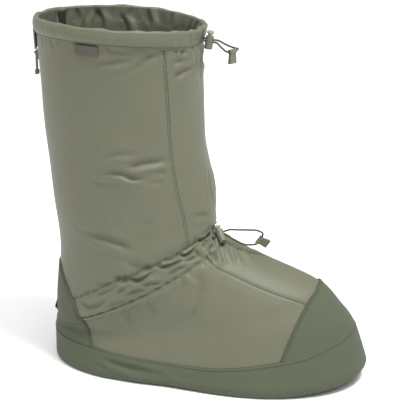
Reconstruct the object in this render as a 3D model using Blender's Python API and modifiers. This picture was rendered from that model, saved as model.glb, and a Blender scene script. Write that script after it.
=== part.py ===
# Waterproof overboot, right foot, built from named sizes in metres.
# The toe points to +X, the outer side of the leg is -Y and +Z is up.
# The origin lies on the floor under the middle of the heel.

import math

import bmesh
import bpy
import numpy as np
from mathutils import Matrix, Vector

# Driving sizes of the boot
FOOT_LENGTH = 0.343
BALL_WIDTH = 0.150
BOOT_HEIGHT = 0.379
HEEL_REST = 0.055

# Sole
SOLE_THICKNESS = 0.008
SOLE_ROUND = 0.007
TOE_SPRING = 0.012
TOE_SWING = 0.008
ARCH_LIFT = 0.002
INSOLE_THICKNESS = 0.004
INSOLE_CLEARANCE = 0.0022

# Walls and overlays
GAP = 0.0003
UPPER_WALL = 0.002
OVERLAY = 0.0012
HEM_CLOTH = 0.001

# Rear zip, tabs and label
ZIP_WIDTH = 0.012
ZIP_THICKNESS = 0.0014
SLIDER_WIDTH = 0.0076
SLIDER_LENGTH = 0.011
SLIDER_THICKNESS = 0.0022
BAIL_RADIUS = 0.0008
BAIL_RISE = 0.0021
PULL_LENGTH = 0.024
PULL_WIDTH = 0.0056
PULL_THICKNESS = 0.0016
PULL_KNOB = 0.0042
PULL_CLEARANCE = 0.0004
REAR_TAB_WIDTH = 0.034
REAR_TAB_HEIGHT = 0.023
REAR_TAB_THICKNESS = 0.0022
HEEL_TAB_WIDTH = 0.014
HEEL_TAB_HEIGHT = 0.020
HEEL_TAB_THICKNESS = 0.0032
LABEL_WIDTH = 0.026
LABEL_HEIGHT = 0.012
LABEL_THICKNESS = 0.0009
INNER_TAB_WIDTH = 0.010
INNER_TAB_HEIGHT = 0.022
INNER_TAB_THICKNESS = 0.0014

# Cord, locks and end clips
CORD_DIAMETER = 0.002
LANE_SPACING = 0.0024
LOCK_DIAMETER = 0.0084
LOCK_HEIGHT = 0.0134
LOCK_BORE = 0.0048
STEM_DIAMETER = 0.0046
LOCK_FLOOR = 0.0016
BUTTON_DIAMETER = 0.0074
BUTTON_HEIGHT = 0.0034
BUTTON_TRAVEL = 0.0018
LANE_DROP = 0.0046
CLIP_BAR_LENGTH = 0.0094
CLIP_BAR_DIAMETER = 0.0046
CLIP_HOLE = 0.0028
CLIP_BODY_LENGTH = 0.0125
CLIP_NECK_WIDTH = 0.0072
CLIP_FOOT_WIDTH = 0.0094
CLIP_THICKNESS = 0.0034

# Mesh fineness
COLUMNS = 40
LOCK_SIDES = 20

# Sections of the upper, from the sole's top (v 0) to the collar (v 1).
# front, back: shares of FOOT_LENGTH; front_up, back_up, side: shares of the
# height above the sole; outer, inner: half widths as shares of BALL_WIDTH;
# foot: how far the section takes the outline of the sole.
SECTION_COLUMNS = ("v", "front", "back", "front_up", "back_up", "outer", "inner", "foot", "side")
SECTIONS = np.array([
    [0.00, 1.000, 0.000, 0.000, 0.000, 0.508, 0.500, 1.00, 0.000],
    [0.12, 0.958, 0.000, 0.125, 0.076, 0.468, 0.462, 1.00, -0.055],
    [0.26, 0.914, 0.002, 0.192, 0.084, 0.432, 0.427, 0.90, -0.027],
    [0.38, 0.855, 0.003, 0.254, 0.092, 0.396, 0.390, 0.80, -0.022],
    [0.48, 0.675, 0.006, 0.325, 0.102, 0.390, 0.382, 0.65, -0.021],
    [0.58, 0.560, 0.011, 0.373, 0.117, 0.418, 0.411, 0.35, -0.031],
    [0.64, 0.518, 0.013, 0.399, 0.172, 0.414, 0.409, 0.15, -0.013],
    [0.72, 0.523, 0.020, 0.480, 0.353, 0.420, 0.420, 0.00, 0.000],
    [0.84, 0.486, -0.008, 0.680, 0.613, 0.445, 0.445, 0.00, 0.000],
    [0.94, 0.477, -0.029, 0.925, 0.948, 0.484, 0.484, 0.00, 0.010],
    [0.97, 0.475, -0.030, 0.952, 0.976, 0.498, 0.498, 0.00, 0.008],
    [1.00, 0.486, -0.032, 0.980, 1.003, 0.510, 0.510, 0.00, 0.006],
])

# Outline of the sole: how much wider than an ellipse, from heel (0) to toe (1)
PLAN_COLUMNS = ("along", "outer", "inner")
PLAN = np.array([
    [0.00, 1.10, 1.10],
    [0.15, 1.04, 1.03],
    [0.40, 0.91, 0.74],
    [0.70, 1.07, 1.06],
    [0.90, 1.20, 1.22],
    [1.00, 1.30, 1.32],
])

# Underside of the sole along its length, as shares of FOOT_LENGTH
SPRING_START = 0.68
ARCH_MIDDLE = 0.42
ARCH_HALF = 0.13
SWING_START = 0.45
SPRING_FADE = 0.45

# Edges of the overlays
RAND_TOP = 0.12
RAND_START = 0.50
EDGE_STEP = 0.001
HEM_BOTTOM = 0.94
TOE_CAP_TOP = 0.47
COUNTER_TOP = 0.73

# Toe cap seam: shares of FOOT_LENGTH at the floor, with its lean and its sweep to the sides
TOE_SEAM = 0.775
TOE_SEAM_LEAN = 0.236
TOE_SEAM_SWEEP = 0.26
TOE_SEAM_FLAT = 0.08

# Counter seam: share of FOOT_LENGTH at the counter's top, its lean, and its top as a share of height
COUNTER_SEAM = 0.050
COUNTER_LEAN = 0.48
COUNTER_HEIGHT = 0.305

# Rows of the upper's mesh
UPPER_ROWS = (0.006, 0.03, 0.075, RAND_TOP - EDGE_STEP, RAND_TOP + EDGE_STEP, 0.18, 0.25, 0.32, 0.39,
              0.46, 0.53, 0.58, 0.61, 0.64, 0.68, 0.74, 0.80, 0.87, HEM_BOTTOM, 0.97, 1.0)
SOLE_ROWS = (0.0, RAND_START, 0.75, 1.0)
DISC_ROWS = (0.84, 0.62, 0.36, 0.14)

# Rear parts, label and inner tab: heights as shares of BOOT_HEIGHT, places round the leg in degrees
REAR_TAB_LEVEL = 0.941
SLIDER_DROP = 0.006
ZIP_BOTTOM_RISE = 0.030
HEEL_TAB_LEVEL = 0.158
LABEL_TURN = 100.0
LABEL_DROP = 0.001
INNER_TAB_TURN = 207.0
INNER_TAB_LEVEL = 0.968

# Cord routes, in metres from the back of the heel, with points chosen by hand.
# Each runs from an exit through the upper lane of its lock, the end clip and the lower lane back.
COLLAR_LOCK_BASE = (0.1720, -0.0050, 0.3518)
COLLAR_LOCK_TOP = (0.1748, -0.0050, 0.3706)
COLLAR_CORD_AIM = (1.0, 0.0, 0.0)
COLLAR_CLIP = (0.1980, -0.0080, 0.3510)
COLLAR_CLIP_BAR = (0.50, 0.86, 0.05)
COLLAR_CLIP_DOWN = (-0.10, -0.05, -1.0)
COLLAR_EXIT_HIGH = (1.0, 0.3618)
COLLAR_EXIT_LOW = (6.5, 0.3596)
COLLAR_OUT_HIGH = ((0.1830, -0.0045, 0.3604), (0.1900, -0.0025, 0.3564),
                   (0.1965, 0.0002, 0.3534), (0.2018, 0.0008, 0.3520))
COLLAR_OUT_LOW = ((0.1915, -0.0130, 0.3520), (0.1860, -0.0095, 0.3552), (0.1815, -0.0062, 0.3582))
ANKLE_LOCK_BASE = (0.1913, -0.0140, 0.1493)
ANKLE_LOCK_TOP = (0.1836, -0.0065, 0.1613)
ANKLE_CORD_AIM = (0.80, 0.345, 0.495)
ANKLE_CLIP = (0.2272, 0.0000, 0.1494)
ANKLE_CLIP_BAR = (0.575, 0.106, 0.811)
ANKLE_CLIP_DOWN = (0.60, 0.62, -0.51)
ANKLE_EXIT_HIGH = (5.0, 0.1535)
ANKLE_EXIT_LOW = (13.0, 0.1520)
ANKLE_OUT_HIGH = ((0.1970, -0.0065, 0.1606), (0.2043, -0.0050, 0.1605), (0.2155, -0.0025, 0.1604),
                  (0.2245, -0.0005, 0.1600), (0.2303, 0.0005, 0.1574))
ANKLE_OUT_LOW = ((0.2190, -0.0025, 0.1442), (0.2129, -0.0050, 0.1449), (0.2047, -0.0070, 0.1482),
                 (0.1966, -0.0085, 0.1534))

# Colours, linear RGB, with roughness
CLOTH_OLIVE = (0.175, 0.185, 0.115)
CLOTH_DARK = (0.125, 0.150, 0.095)
CORD_GREY = (0.070, 0.076, 0.056)
PLASTIC_OLIVE = (0.155, 0.165, 0.105)
PLASTIC_PALE = (0.300, 0.310, 0.230)
WEB_BLACK = (0.020, 0.021, 0.020)
LABEL_GREY = (0.190, 0.185, 0.155)
SOLE_DARK = (0.105, 0.125, 0.080)


def smooth_table(table, at):
    """Values of a table between its rows, on smooth curves that never overshoot."""
    knots = table[:, 0]
    values = table[:, 1:]
    steps = np.diff(knots)[:, None]
    slopes = np.diff(values, axis=0) / steps
    tangents = np.zeros_like(values)
    same_way = slopes[:-1] * slopes[1:] > 0.0
    weight_low = 2.0 * steps[1:] + steps[:-1]
    weight_high = steps[1:] + 2.0 * steps[:-1]
    low_slope = np.where(same_way, slopes[:-1], 1.0)
    high_slope = np.where(same_way, slopes[1:], 1.0)
    mean = (weight_low + weight_high) / (weight_low / low_slope + weight_high / high_slope)
    tangents[1:-1] = np.where(same_way, mean, 0.0)
    tangents[0] = slopes[0]
    tangents[-1] = slopes[-1]
    at = np.asarray(at, dtype=float)
    row = np.clip(np.searchsorted(knots, at, side="right") - 1, 0, len(knots) - 2)
    width = steps[row]
    t = np.clip((at - knots[row]) / steps[row, 0], 0.0, 1.0)[..., None]
    low = (2.0 * t ** 3 - 3.0 * t ** 2 + 1.0) * values[row]
    low_turn = (t ** 3 - 2.0 * t ** 2 + t) * width * tangents[row]
    high = (3.0 * t ** 2 - 2.0 * t ** 3) * values[row + 1]
    high_turn = (t ** 3 - t ** 2) * width * tangents[row + 1]
    return low + low_turn + high + high_turn


def underside(x):
    """Height of the sole's underside above the floor at a distance from the heel."""
    share = x / FOOT_LENGTH
    spring = TOE_SPRING * np.clip((share - SPRING_START) / (1.0 - SPRING_START), 0.0, None) ** 2
    arch = ARCH_LIFT * np.clip(1.0 - ((share - ARCH_MIDDLE) / ARCH_HALF) ** 2, 0.0, None)
    return spring + arch


def surface(u, v):
    """Outside of the upper. u turns from the toe (0) by the outer side to the heel (pi)."""
    u, v = np.broadcast_arrays(np.asarray(u, dtype=float), np.asarray(v, dtype=float))
    columns = np.moveaxis(smooth_table(SECTIONS, v), -1, 0)
    front, back, front_up, back_up, outer, inner, foot, side = columns
    along = (1.0 + np.cos(u)) / 2.0
    across = np.sin(u)
    plan = smooth_table(PLAN, along)
    outer_side = across > 0.0
    plan_width = np.where(outer_side, plan[..., 0], plan[..., 1])
    half_width = np.where(outer_side, outer, inner) * BALL_WIDTH
    half_width = half_width * (foot * plan_width + 1.0 - foot)
    x = (back + (front - back) * along) * FOOT_LENGTH
    swing = TOE_SWING * np.clip((x / FOOT_LENGTH - SWING_START) / (1.0 - SWING_START), 0.0, None) ** 1.6
    y = swing - half_width * across
    rise = BOOT_HEIGHT - SOLE_THICKNESS
    z = SOLE_THICKNESS + (back_up + (front_up - back_up) * along + side * across ** 2) * rise
    z = z + underside(x) * np.clip(1.0 - v / SPRING_FADE, 0.0, 1.0) * foot
    return np.stack([x, y, z], axis=-1)


def unit(vectors):
    return vectors / np.linalg.norm(vectors, axis=-1)[..., None]


def outward(u, v):
    """Unit normal of the upper's outside."""
    turn = 0.01
    climb = 0.004
    v = np.asarray(v, dtype=float)
    around = surface(u + turn, v) - surface(u - turn, v)
    upward = surface(u, np.minimum(v + climb, 1.0)) - surface(u, np.maximum(v - climb, 0.0))
    return unit(np.cross(upward, around))


def outline_normal(u):
    """Level normal of the sole's outline."""
    turn = 0.01
    around = surface(u + turn, 0.0) - surface(u - turn, 0.0)
    level = np.stack([-around[..., 1], around[..., 0], 0.0 * around[..., 0]], axis=-1)
    return unit(level)


def sole_edge(u, height):
    """Edge of the sole: rounded under at height 0, upright at height 1."""
    edge = surface(u, 0.0)
    turn = (1.0 - height) * math.pi / 2.0
    point = edge - outline_normal(u) * SOLE_ROUND * (1.0 - math.cos(turn))
    point[..., 2] = underside(edge[..., 0]) + (SOLE_THICKNESS - GAP) * (1.0 - math.sin(turn))
    return point


def seated(points):
    """Moves points from the back of the heel to the origin under the heel."""
    points = np.array(points, dtype=float)
    points[..., 0] -= HEEL_REST
    return points


def around_columns():
    return np.arange(COLUMNS) * 2.0 * math.pi / COLUMNS


def clear_scene():
    for item in list(bpy.data.objects):
        bpy.data.objects.remove(item)


def new_collection(name):
    collection = bpy.data.collections.new(name)
    bpy.context.scene.collection.children.link(collection)
    return collection


def new_material(name, colour, roughness, metallic=0.0):
    material = bpy.data.materials.new(name)
    material.use_nodes = True
    shader = material.node_tree.nodes["Principled BSDF"]
    shader.inputs["Base Color"].default_value = (*colour, 1.0)
    shader.inputs["Roughness"].default_value = roughness
    shader.inputs["Metallic"].default_value = metallic
    return material


def mesh_object(name, mesh_data, collection, material):
    mesh = bpy.data.meshes.new(name)
    mesh_data.to_mesh(mesh)
    mesh_data.free()
    item = bpy.data.objects.new(name, mesh)
    item.data.materials.append(material)
    collection.objects.link(item)
    return item


def loft(rows, closed=True, cap_first=False, cap_last=False, ring=False):
    """Triangles between rows of points. Closed rows join end to end, a ring joins last row to first."""
    data = bmesh.new()
    lines = [[data.verts.new(point) for point in row] for row in rows]
    pairs = list(zip(lines[:-1], lines[1:]))
    if ring:
        pairs.append((lines[-1], lines[0]))
    count = len(lines[0])
    spans = count if closed else count - 1
    for low, high in pairs:
        for index in range(spans):
            after = (index + 1) % count
            data.faces.new((low[index], low[after], high[after]))
            data.faces.new((low[index], high[after], high[index]))
    if cap_first:
        middle = data.verts.new(sum((vert.co for vert in lines[0]), Vector()) / count)
        for index in range(count):
            data.faces.new((lines[0][(index + 1) % count], lines[0][index], middle))
    if cap_last:
        middle = data.verts.new(sum((vert.co for vert in lines[-1]), Vector()) / count)
        for index in range(count):
            data.faces.new((lines[-1][index], lines[-1][(index + 1) % count], middle))
    return data


def turn_outward(data):
    bmesh.ops.recalc_face_normals(data, faces=data.faces)
    return data


def add_wall(item, thickness, offset):
    """Gives an open surface its thickness: offset -1 grows inward, 1 outward."""
    wall = item.modifiers.new("wall", "SOLIDIFY")
    wall.thickness = thickness
    wall.offset = offset
    wall.use_rim = True
    wall.use_even_offset = False
    return wall


def add_boolean(item, cutter, operation):
    cut = item.modifiers.new(cutter.name, "BOOLEAN")
    cut.operation = operation
    cut.solver = "EXACT"
    cut.object = cutter
    return cut


def mark_cutter(item):
    item.hide_render = True
    item.display_type = "WIRE"


def shade_round(item):
    item.data.shade_smooth()
    item.data.set_sharp_from_angle(angle=math.radians(40.0))


def sole_disc(u, height):
    """Rows of a face of the sole, from its edge inwards, all on the sole's own mesh lines."""
    edge = sole_edge(u, height)
    middle = np.array([0.5 * FOOT_LENGTH, 0.0, 0.0])
    rows = [edge]
    for share in DISC_ROWS:
        row = middle + (edge - middle) * share
        row[..., 2] = underside(row[..., 0]) + (SOLE_THICKNESS - GAP) * height
        rows.append(row)
    return rows


def build_outsole(parts, material):
    u = around_columns()
    rows = list(reversed(sole_disc(u, 0.0)))
    rows += [sole_edge(u, height) for height in SOLE_ROWS[1:-1]]
    rows += sole_disc(u, 1.0)
    data = loft([seated(row) for row in rows], cap_first=True, cap_last=True)
    return mesh_object("outsole", turn_outward(data), parts, material)


def build_insole(parts, material):
    u = around_columns()
    rows = sole_disc(u, 1.0)
    band = rows[0] - rows[1]
    reach = np.sum(band * outline_normal(u), axis=-1)[..., None]
    rows[0] = rows[0] - band * (UPPER_WALL + INSOLE_CLEARANCE) / reach
    lower = [row + np.array([0.0, 0.0, GAP]) for row in rows]
    upper = [row + np.array([0.0, 0.0, GAP + INSOLE_THICKNESS]) for row in rows]
    data = loft([seated(row) for row in list(reversed(upper)) + lower], cap_first=True, cap_last=True)
    return mesh_object("insole", turn_outward(data), parts, material)


def build_upper(parts, material):
    u = around_columns()
    rows = [seated(surface(u, v)) for v in UPPER_ROWS]
    item = mesh_object("upper", loft(rows), parts, material)
    add_wall(item, UPPER_WALL, 1.0)
    shade_round(item)
    return item


def build_rand(parts, material):
    u = around_columns()
    rows = []
    for height in SOLE_ROWS[1:]:
        turn = (1.0 - height) * math.pi / 2.0
        side = outline_normal(u) * math.cos(turn)
        side[..., 2] = -math.sin(turn)
        rows.append(sole_edge(u, height) + side * GAP)
    for v in UPPER_ROWS:
        if v < RAND_TOP:
            rows.append(surface(u, v) + outward(u, v) * GAP)
    item = mesh_object("rand", loft([seated(row) for row in rows]), parts, material)
    add_wall(item, OVERLAY, -1.0)
    shade_round(item)
    return item


def overlay_patch(name, u, rows_v, parts, material):
    """A patch of overlay over the same mesh lines as the upper."""
    rows = [seated(surface(u, v) + outward(u, v) * GAP) for v in rows_v]
    item = mesh_object(name, loft(rows, closed=False), parts, material)
    add_wall(item, OVERLAY, -1.0)
    return item


def toe_seam_cutter(cutters, material):
    """A wedge ahead of the toe cap's seam, leaning forward as it rises."""
    reach = BALL_WIDTH
    flat = TOE_SEAM_FLAT * BALL_WIDTH
    seam = TOE_SEAM * FOOT_LENGTH
    swept = seam - TOE_SEAM_SWEEP * (reach - flat)
    ahead = 1.3 * FOOT_LENGTH
    outline = ((seam, -flat), (seam, flat), (swept, reach), (ahead, reach), (ahead, -reach), (swept, -reach))
    rows = []
    for height in (-0.05 * BOOT_HEIGHT, 0.6 * BOOT_HEIGHT):
        lean = TOE_SEAM_LEAN * height
        rows.append(seated([(x + lean, y, height) for x, y in outline]))
    data = loft(rows, cap_first=True, cap_last=True)
    item = mesh_object("toe_seam_cutter", turn_outward(data), cutters, material)
    mark_cutter(item)
    return item


def counter_seam_cutter(cutters, material):
    """A wedge behind the counter's seam, lower edge reaching forward."""
    top = COUNTER_HEIGHT * BOOT_HEIGHT
    seam = COUNTER_SEAM * FOOT_LENGTH
    behind = -0.2 * FOOT_LENGTH
    profile = ((behind, 0.0), (seam + COUNTER_LEAN * top, 0.0), (seam, top), (behind, top))
    rows = [seated([(x, y, z) for x, z in profile]) for y in (-BALL_WIDTH, BALL_WIDTH)]
    data = loft(rows, cap_first=True, cap_last=True)
    item = mesh_object("counter_seam_cutter", turn_outward(data), cutters, material)
    mark_cutter(item)
    return item


def build_toe_cap(parts, cutters, material):
    step = 2.0 * math.pi / COLUMNS
    u = np.arange(-COLUMNS // 4, COLUMNS // 4 + 1) * step
    rows_v = [v for v in UPPER_ROWS if RAND_TOP < v <= TOE_CAP_TOP]
    item = overlay_patch("toe_cap", u, rows_v, parts, material)
    add_boolean(item, toe_seam_cutter(cutters, material), "INTERSECT")
    return item


def build_heel_counter(parts, cutters, material):
    step = 2.0 * math.pi / COLUMNS
    u = math.pi + np.arange(-COLUMNS // 4, COLUMNS // 4 + 1) * step
    rows_v = [v for v in UPPER_ROWS if RAND_TOP < v < COUNTER_TOP + 0.02]
    item = overlay_patch("heel_counter", u, rows_v, parts, material)
    add_boolean(item, counter_seam_cutter(cutters, material), "INTERSECT")
    return item


def build_collar_hem(parts, material):
    """A strip folded over the collar: down the outside, over the edge and down the inside."""
    u = around_columns()
    rows_v = [v for v in UPPER_ROWS if v >= HEM_BOTTOM]
    climb = unit(surface(u, 1.0) - surface(u, 0.99))
    out_near = GAP
    out_far = GAP + HEM_CLOTH
    in_near = -(UPPER_WALL + GAP)
    in_far = in_near - HEM_CLOTH
    edge = surface(u, 1.0)
    across = outward(u, 1.0)
    fold_middle = (out_far + in_far) / 2.0
    fold_half = (out_far - in_far) / 2.0
    rows = [surface(u, v) + outward(u, v) * out_far for v in rows_v]
    for degrees in (45.0, 90.0, 135.0):
        angle = math.radians(degrees)
        level = fold_middle + fold_half * math.cos(angle)
        rows.append(edge + across * level + climb * (GAP + HEM_CLOTH) * math.sin(angle))
    rows += [surface(u, v) + outward(u, v) * in_far for v in reversed(rows_v)]
    rows += [surface(u, v) + outward(u, v) * in_near for v in rows_v[:-1]]
    rows.append(edge + across * in_near + climb * GAP)
    rows.append(edge + across * out_near + climb * GAP)
    rows += [surface(u, v) + outward(u, v) * out_near for v in reversed(rows_v[:-1])]
    data = loft([seated(row) for row in rows], ring=True)
    item = mesh_object("collar_hem", turn_outward(data), parts, material)
    shade_round(item)
    return item


def lifted(u, v, lift):
    """The upper's outside as its mesh has it, straight between its rows, moved off by a lift."""
    levels = np.array(UPPER_ROWS)
    row = np.clip(np.searchsorted(levels, v) - 1, 0, len(levels) - 2)
    share = ((v - levels[row]) / (levels[row + 1] - levels[row]))[..., None]
    low = surface(u, levels[row]) + outward(u, levels[row]) * lift
    high = surface(u, levels[row + 1]) + outward(u, levels[row + 1]) * lift
    return low + (high - low) * share


def height_on(u, target):
    """The v at which the upper's outside reaches a height."""
    levels = np.linspace(UPPER_ROWS[0], 1.0, 401)
    heights = lifted(np.full_like(levels, u), levels, 0.0)[:, 2]
    return float(np.interp(target, heights, levels))


def pad_on_upper(name, u_middle, z_middle, width, height, thickness, lift, parts, material,
                 inside=False, columns=5, rows=4):
    """A thin pad that follows the upper: width across, height up, lifted off its surface."""
    v_middle = height_on(u_middle, z_middle)
    here = surface(u_middle, v_middle)
    turn = 0.01
    reach = np.linalg.norm(surface(u_middle + turn, v_middle) - here) / turn
    half_turn = width / 2.0 / reach
    grid = []
    for level in np.linspace(z_middle - height / 2.0, z_middle + height / 2.0, rows):
        us = np.linspace(u_middle - half_turn, u_middle + half_turn, columns)
        vs = np.array([height_on(one, level) for one in us])
        away = -(lift + UPPER_WALL) if inside else lift
        grid.append(seated(lifted(us, vs, away)))
    item = mesh_object(name, loft(grid, closed=False), parts, material)
    add_wall(item, thickness, 1.0 if inside else -1.0)
    return item


def lock_frame(base, top, aim):
    """A frame at the lock's foot: Z up its axis, X along the cord."""
    base = Vector(seated(base))
    axis = (Vector(seated(top)) - base).normalized()
    cord = Vector(aim)
    cord = (cord - axis * cord.dot(axis)).normalized()
    side = axis.cross(cord)
    frame = Matrix((cord, side, axis)).transposed().to_4x4()
    frame.translation = base
    return frame


def cylinder(name, radius, low, high, sides, collection, material, frame, axis="Z"):
    data = bmesh.new()
    bmesh.ops.create_cone(data, cap_ends=True, segments=sides, radius1=radius, radius2=radius,
                          depth=high - low)
    bmesh.ops.translate(data, verts=data.verts, vec=(0.0, 0.0, (high + low) / 2.0))
    if axis == "Y":
        bmesh.ops.rotate(data, verts=data.verts, matrix=Matrix.Rotation(math.radians(-90.0), 3, "X"))
    item = mesh_object(name, data, collection, material)
    item.matrix_world = frame
    return item


def box(name, low, high, collection, material, frame):
    data = bmesh.new()
    bmesh.ops.create_cube(data, size=1.0)
    size = Vector(high) - Vector(low)
    bmesh.ops.scale(data, verts=data.verts, vec=size)
    bmesh.ops.translate(data, verts=data.verts, vec=Vector(low) + size / 2.0)
    item = mesh_object(name, data, collection, material)
    item.matrix_world = frame
    return item


def build_lock(name, base, top, aim, parts, cutters, shell_material, button_material):
    """A cord lock: a round barrel with a cross slot for two cord lanes, and a sprung button."""
    frame = lock_frame(base, top, aim)
    slot_half_width = CORD_DIAMETER / 2.0 + GAP
    slot_half_height = LANE_SPACING / 2.0 + CORD_DIAMETER / 2.0 + GAP
    lane_level = LOCK_HEIGHT - LANE_DROP
    reach = LOCK_DIAMETER
    barrel = cylinder(name + "_barrel", LOCK_DIAMETER / 2.0, 0.0, LOCK_HEIGHT, LOCK_SIDES,
                      parts, shell_material, frame)
    rounding = barrel.modifiers.new("rounding", "BEVEL")
    rounding.width = 0.0008
    rounding.segments = 2
    rounding.limit_method = "ANGLE"
    rounding.angle_limit = math.radians(60.0)
    bore = cylinder(name + "_bore_cutter", LOCK_BORE / 2.0, LOCK_FLOOR, LOCK_HEIGHT * 1.5, LOCK_SIDES,
                    cutters, shell_material, frame)
    mark_cutter(bore)
    add_boolean(barrel, bore, "DIFFERENCE")
    slot = box(name + "_slot_cutter",
               (-reach, -slot_half_width, lane_level - slot_half_height),
               (reach, slot_half_width, lane_level + slot_half_height), cutters, shell_material, frame)
    mark_cutter(slot)
    add_boolean(barrel, slot, "DIFFERENCE")
    cap_low = LOCK_HEIGHT + BUTTON_TRAVEL + GAP
    stem_low = LOCK_FLOOR + BUTTON_TRAVEL + GAP
    button = cylinder(name + "_button", STEM_DIAMETER / 2.0, stem_low, cap_low + BUTTON_HEIGHT / 2.0,
                      LOCK_SIDES, parts, button_material, frame)
    cap = cylinder(name + "_cap_joined", BUTTON_DIAMETER / 2.0, cap_low, cap_low + BUTTON_HEIGHT,
                   LOCK_SIDES, cutters, button_material, frame)
    dome = cap.modifiers.new("dome", "BEVEL")
    dome.width = 0.0013
    dome.segments = 2
    dome.limit_method = "ANGLE"
    dome.angle_limit = math.radians(60.0)
    mark_cutter(cap)
    add_boolean(button, cap, "UNION")
    stem_slot = box(name + "_stem_slot_cutter",
                    (-reach, -slot_half_width, lane_level - slot_half_height),
                    (reach, slot_half_width, lane_level + slot_half_height + BUTTON_TRAVEL),
                    cutters, button_material, frame)
    mark_cutter(stem_slot)
    add_boolean(button, stem_slot, "DIFFERENCE")
    return frame


def build_clip(name, middle, bar, down, parts, cutters, material):
    """A cord end: a short bar with the cord through it, and a flared body under it."""
    bar_axis = Vector(bar).normalized()
    fall = Vector(down)
    fall = (fall - bar_axis * fall.dot(bar_axis)).normalized()
    through = bar_axis.cross(-fall)
    frame = Matrix((through, bar_axis, -fall)).transposed().to_4x4()
    frame.translation = Vector(seated(middle))
    half_bar = CLIP_BAR_LENGTH / 2.0
    item = cylinder(name, CLIP_BAR_DIAMETER / 2.0, -half_bar, half_bar, 16, parts, material, frame, "Y")
    neck = CLIP_NECK_WIDTH / 2.0
    foot = CLIP_FOOT_WIDTH / 2.0
    thick = CLIP_THICKNESS / 2.0
    rows = []
    for level, half, deep in ((0.0, neck, thick * 0.8), (-CLIP_BODY_LENGTH, foot, thick)):
        rows.append([(-deep, -half, level), (deep, -half, level), (deep, half, level), (-deep, half, level)])
    body = mesh_object(name + "_body_joined", turn_outward(loft(rows, cap_first=True, cap_last=True)),
                       cutters, material)
    body.matrix_world = frame
    mark_cutter(body)
    add_boolean(item, body, "UNION")
    hole = cylinder(name + "_hole_cutter", CLIP_HOLE / 2.0, -CLIP_BAR_LENGTH, CLIP_BAR_LENGTH, 12,
                    cutters, material, frame, "Y")
    mark_cutter(hole)
    add_boolean(item, hole, "DIFFERENCE")
    return frame


def spline_points(points, spacing):
    """Points along a smooth curve through the route's own points."""
    route = [np.array(point, dtype=float) for point in points]
    route = [2.0 * route[0] - route[1]] + route + [2.0 * route[-1] - route[-2]]
    line = []
    for first, second, third, fourth in zip(route[:-3], route[1:-2], route[2:-1], route[3:]):
        span = float(np.linalg.norm(third - second))
        parts = max(1, round(span / spacing))
        for step in range(parts):
            t = step / parts
            line.append(0.5 * (2.0 * second + (third - first) * t
                               + (2.0 * first - 5.0 * second + 4.0 * third - fourth) * t ** 2
                               + (3.0 * second - first - 3.0 * third + fourth) * t ** 3))
    line.append(route[-2])
    return line


def build_cord(name, points, parts, material):
    curve = bpy.data.curves.new(name, "CURVE")
    curve.dimensions = "3D"
    curve.bevel_depth = CORD_DIAMETER / 2.0
    curve.bevel_resolution = 2
    curve.use_fill_caps = True
    line = spline_points(points, 2.5 * CORD_DIAMETER)
    spline = curve.splines.new("POLY")
    spline.points.add(len(line) - 1)
    for slot, point in zip(spline.points, line):
        slot.co = (*point, 1.0)
    item = bpy.data.objects.new(name, curve)
    item.data.materials.append(material)
    parts.objects.link(item)
    return item


def exit_point(place, lift):
    """Where a cord comes out of its tunnel: degrees round the leg and a height, just off the cloth."""
    u = math.radians(place[0])
    v = height_on(u, place[1])
    return seated(lifted(u, v, lift))


def cord_route(lock, clip, exits, out_high, out_low):
    """From one exit through the upper lane, the clip's bar and the lower lane to the other exit."""
    lane = LOCK_HEIGHT - LANE_DROP
    high = lane + LANE_SPACING / 2.0
    low = lane - LANE_SPACING / 2.0
    mouth = LOCK_DIAMETER / 2.0 + GAP
    lead = (-mouth, -0.8 * mouth, 0.0, 0.8 * mouth, mouth)
    bar = CLIP_BAR_LENGTH / 2.0
    ends = (1.25 * bar, bar, 0.0, -bar, -1.25 * bar)
    outbound = [lock @ Vector((x, 0.0, high)) for x in lead]
    homeward = [lock @ Vector((x, 0.0, low)) for x in reversed(lead)]
    through = [clip @ Vector((0.0, y, 0.0)) for y in ends]
    middle = [Vector(seated(point)) for point in out_high] + through
    middle += [Vector(seated(point)) for point in out_low]
    return [Vector(exits[0])] + outbound + middle + homeward + [Vector(exits[1])]


def back_frame(z, lift):
    """A frame on the middle of the back: X away from the leg, Z up along it."""
    v = height_on(math.pi, z)
    away = Vector(outward(math.pi, v)).normalized()
    side = Vector((0.0, -1.0, 0.0))
    up = away.cross(side).normalized()
    frame = Matrix((away, side, up)).transposed().to_4x4()
    frame.translation = Vector(seated(lifted(math.pi, v, lift)))
    return frame


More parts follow.
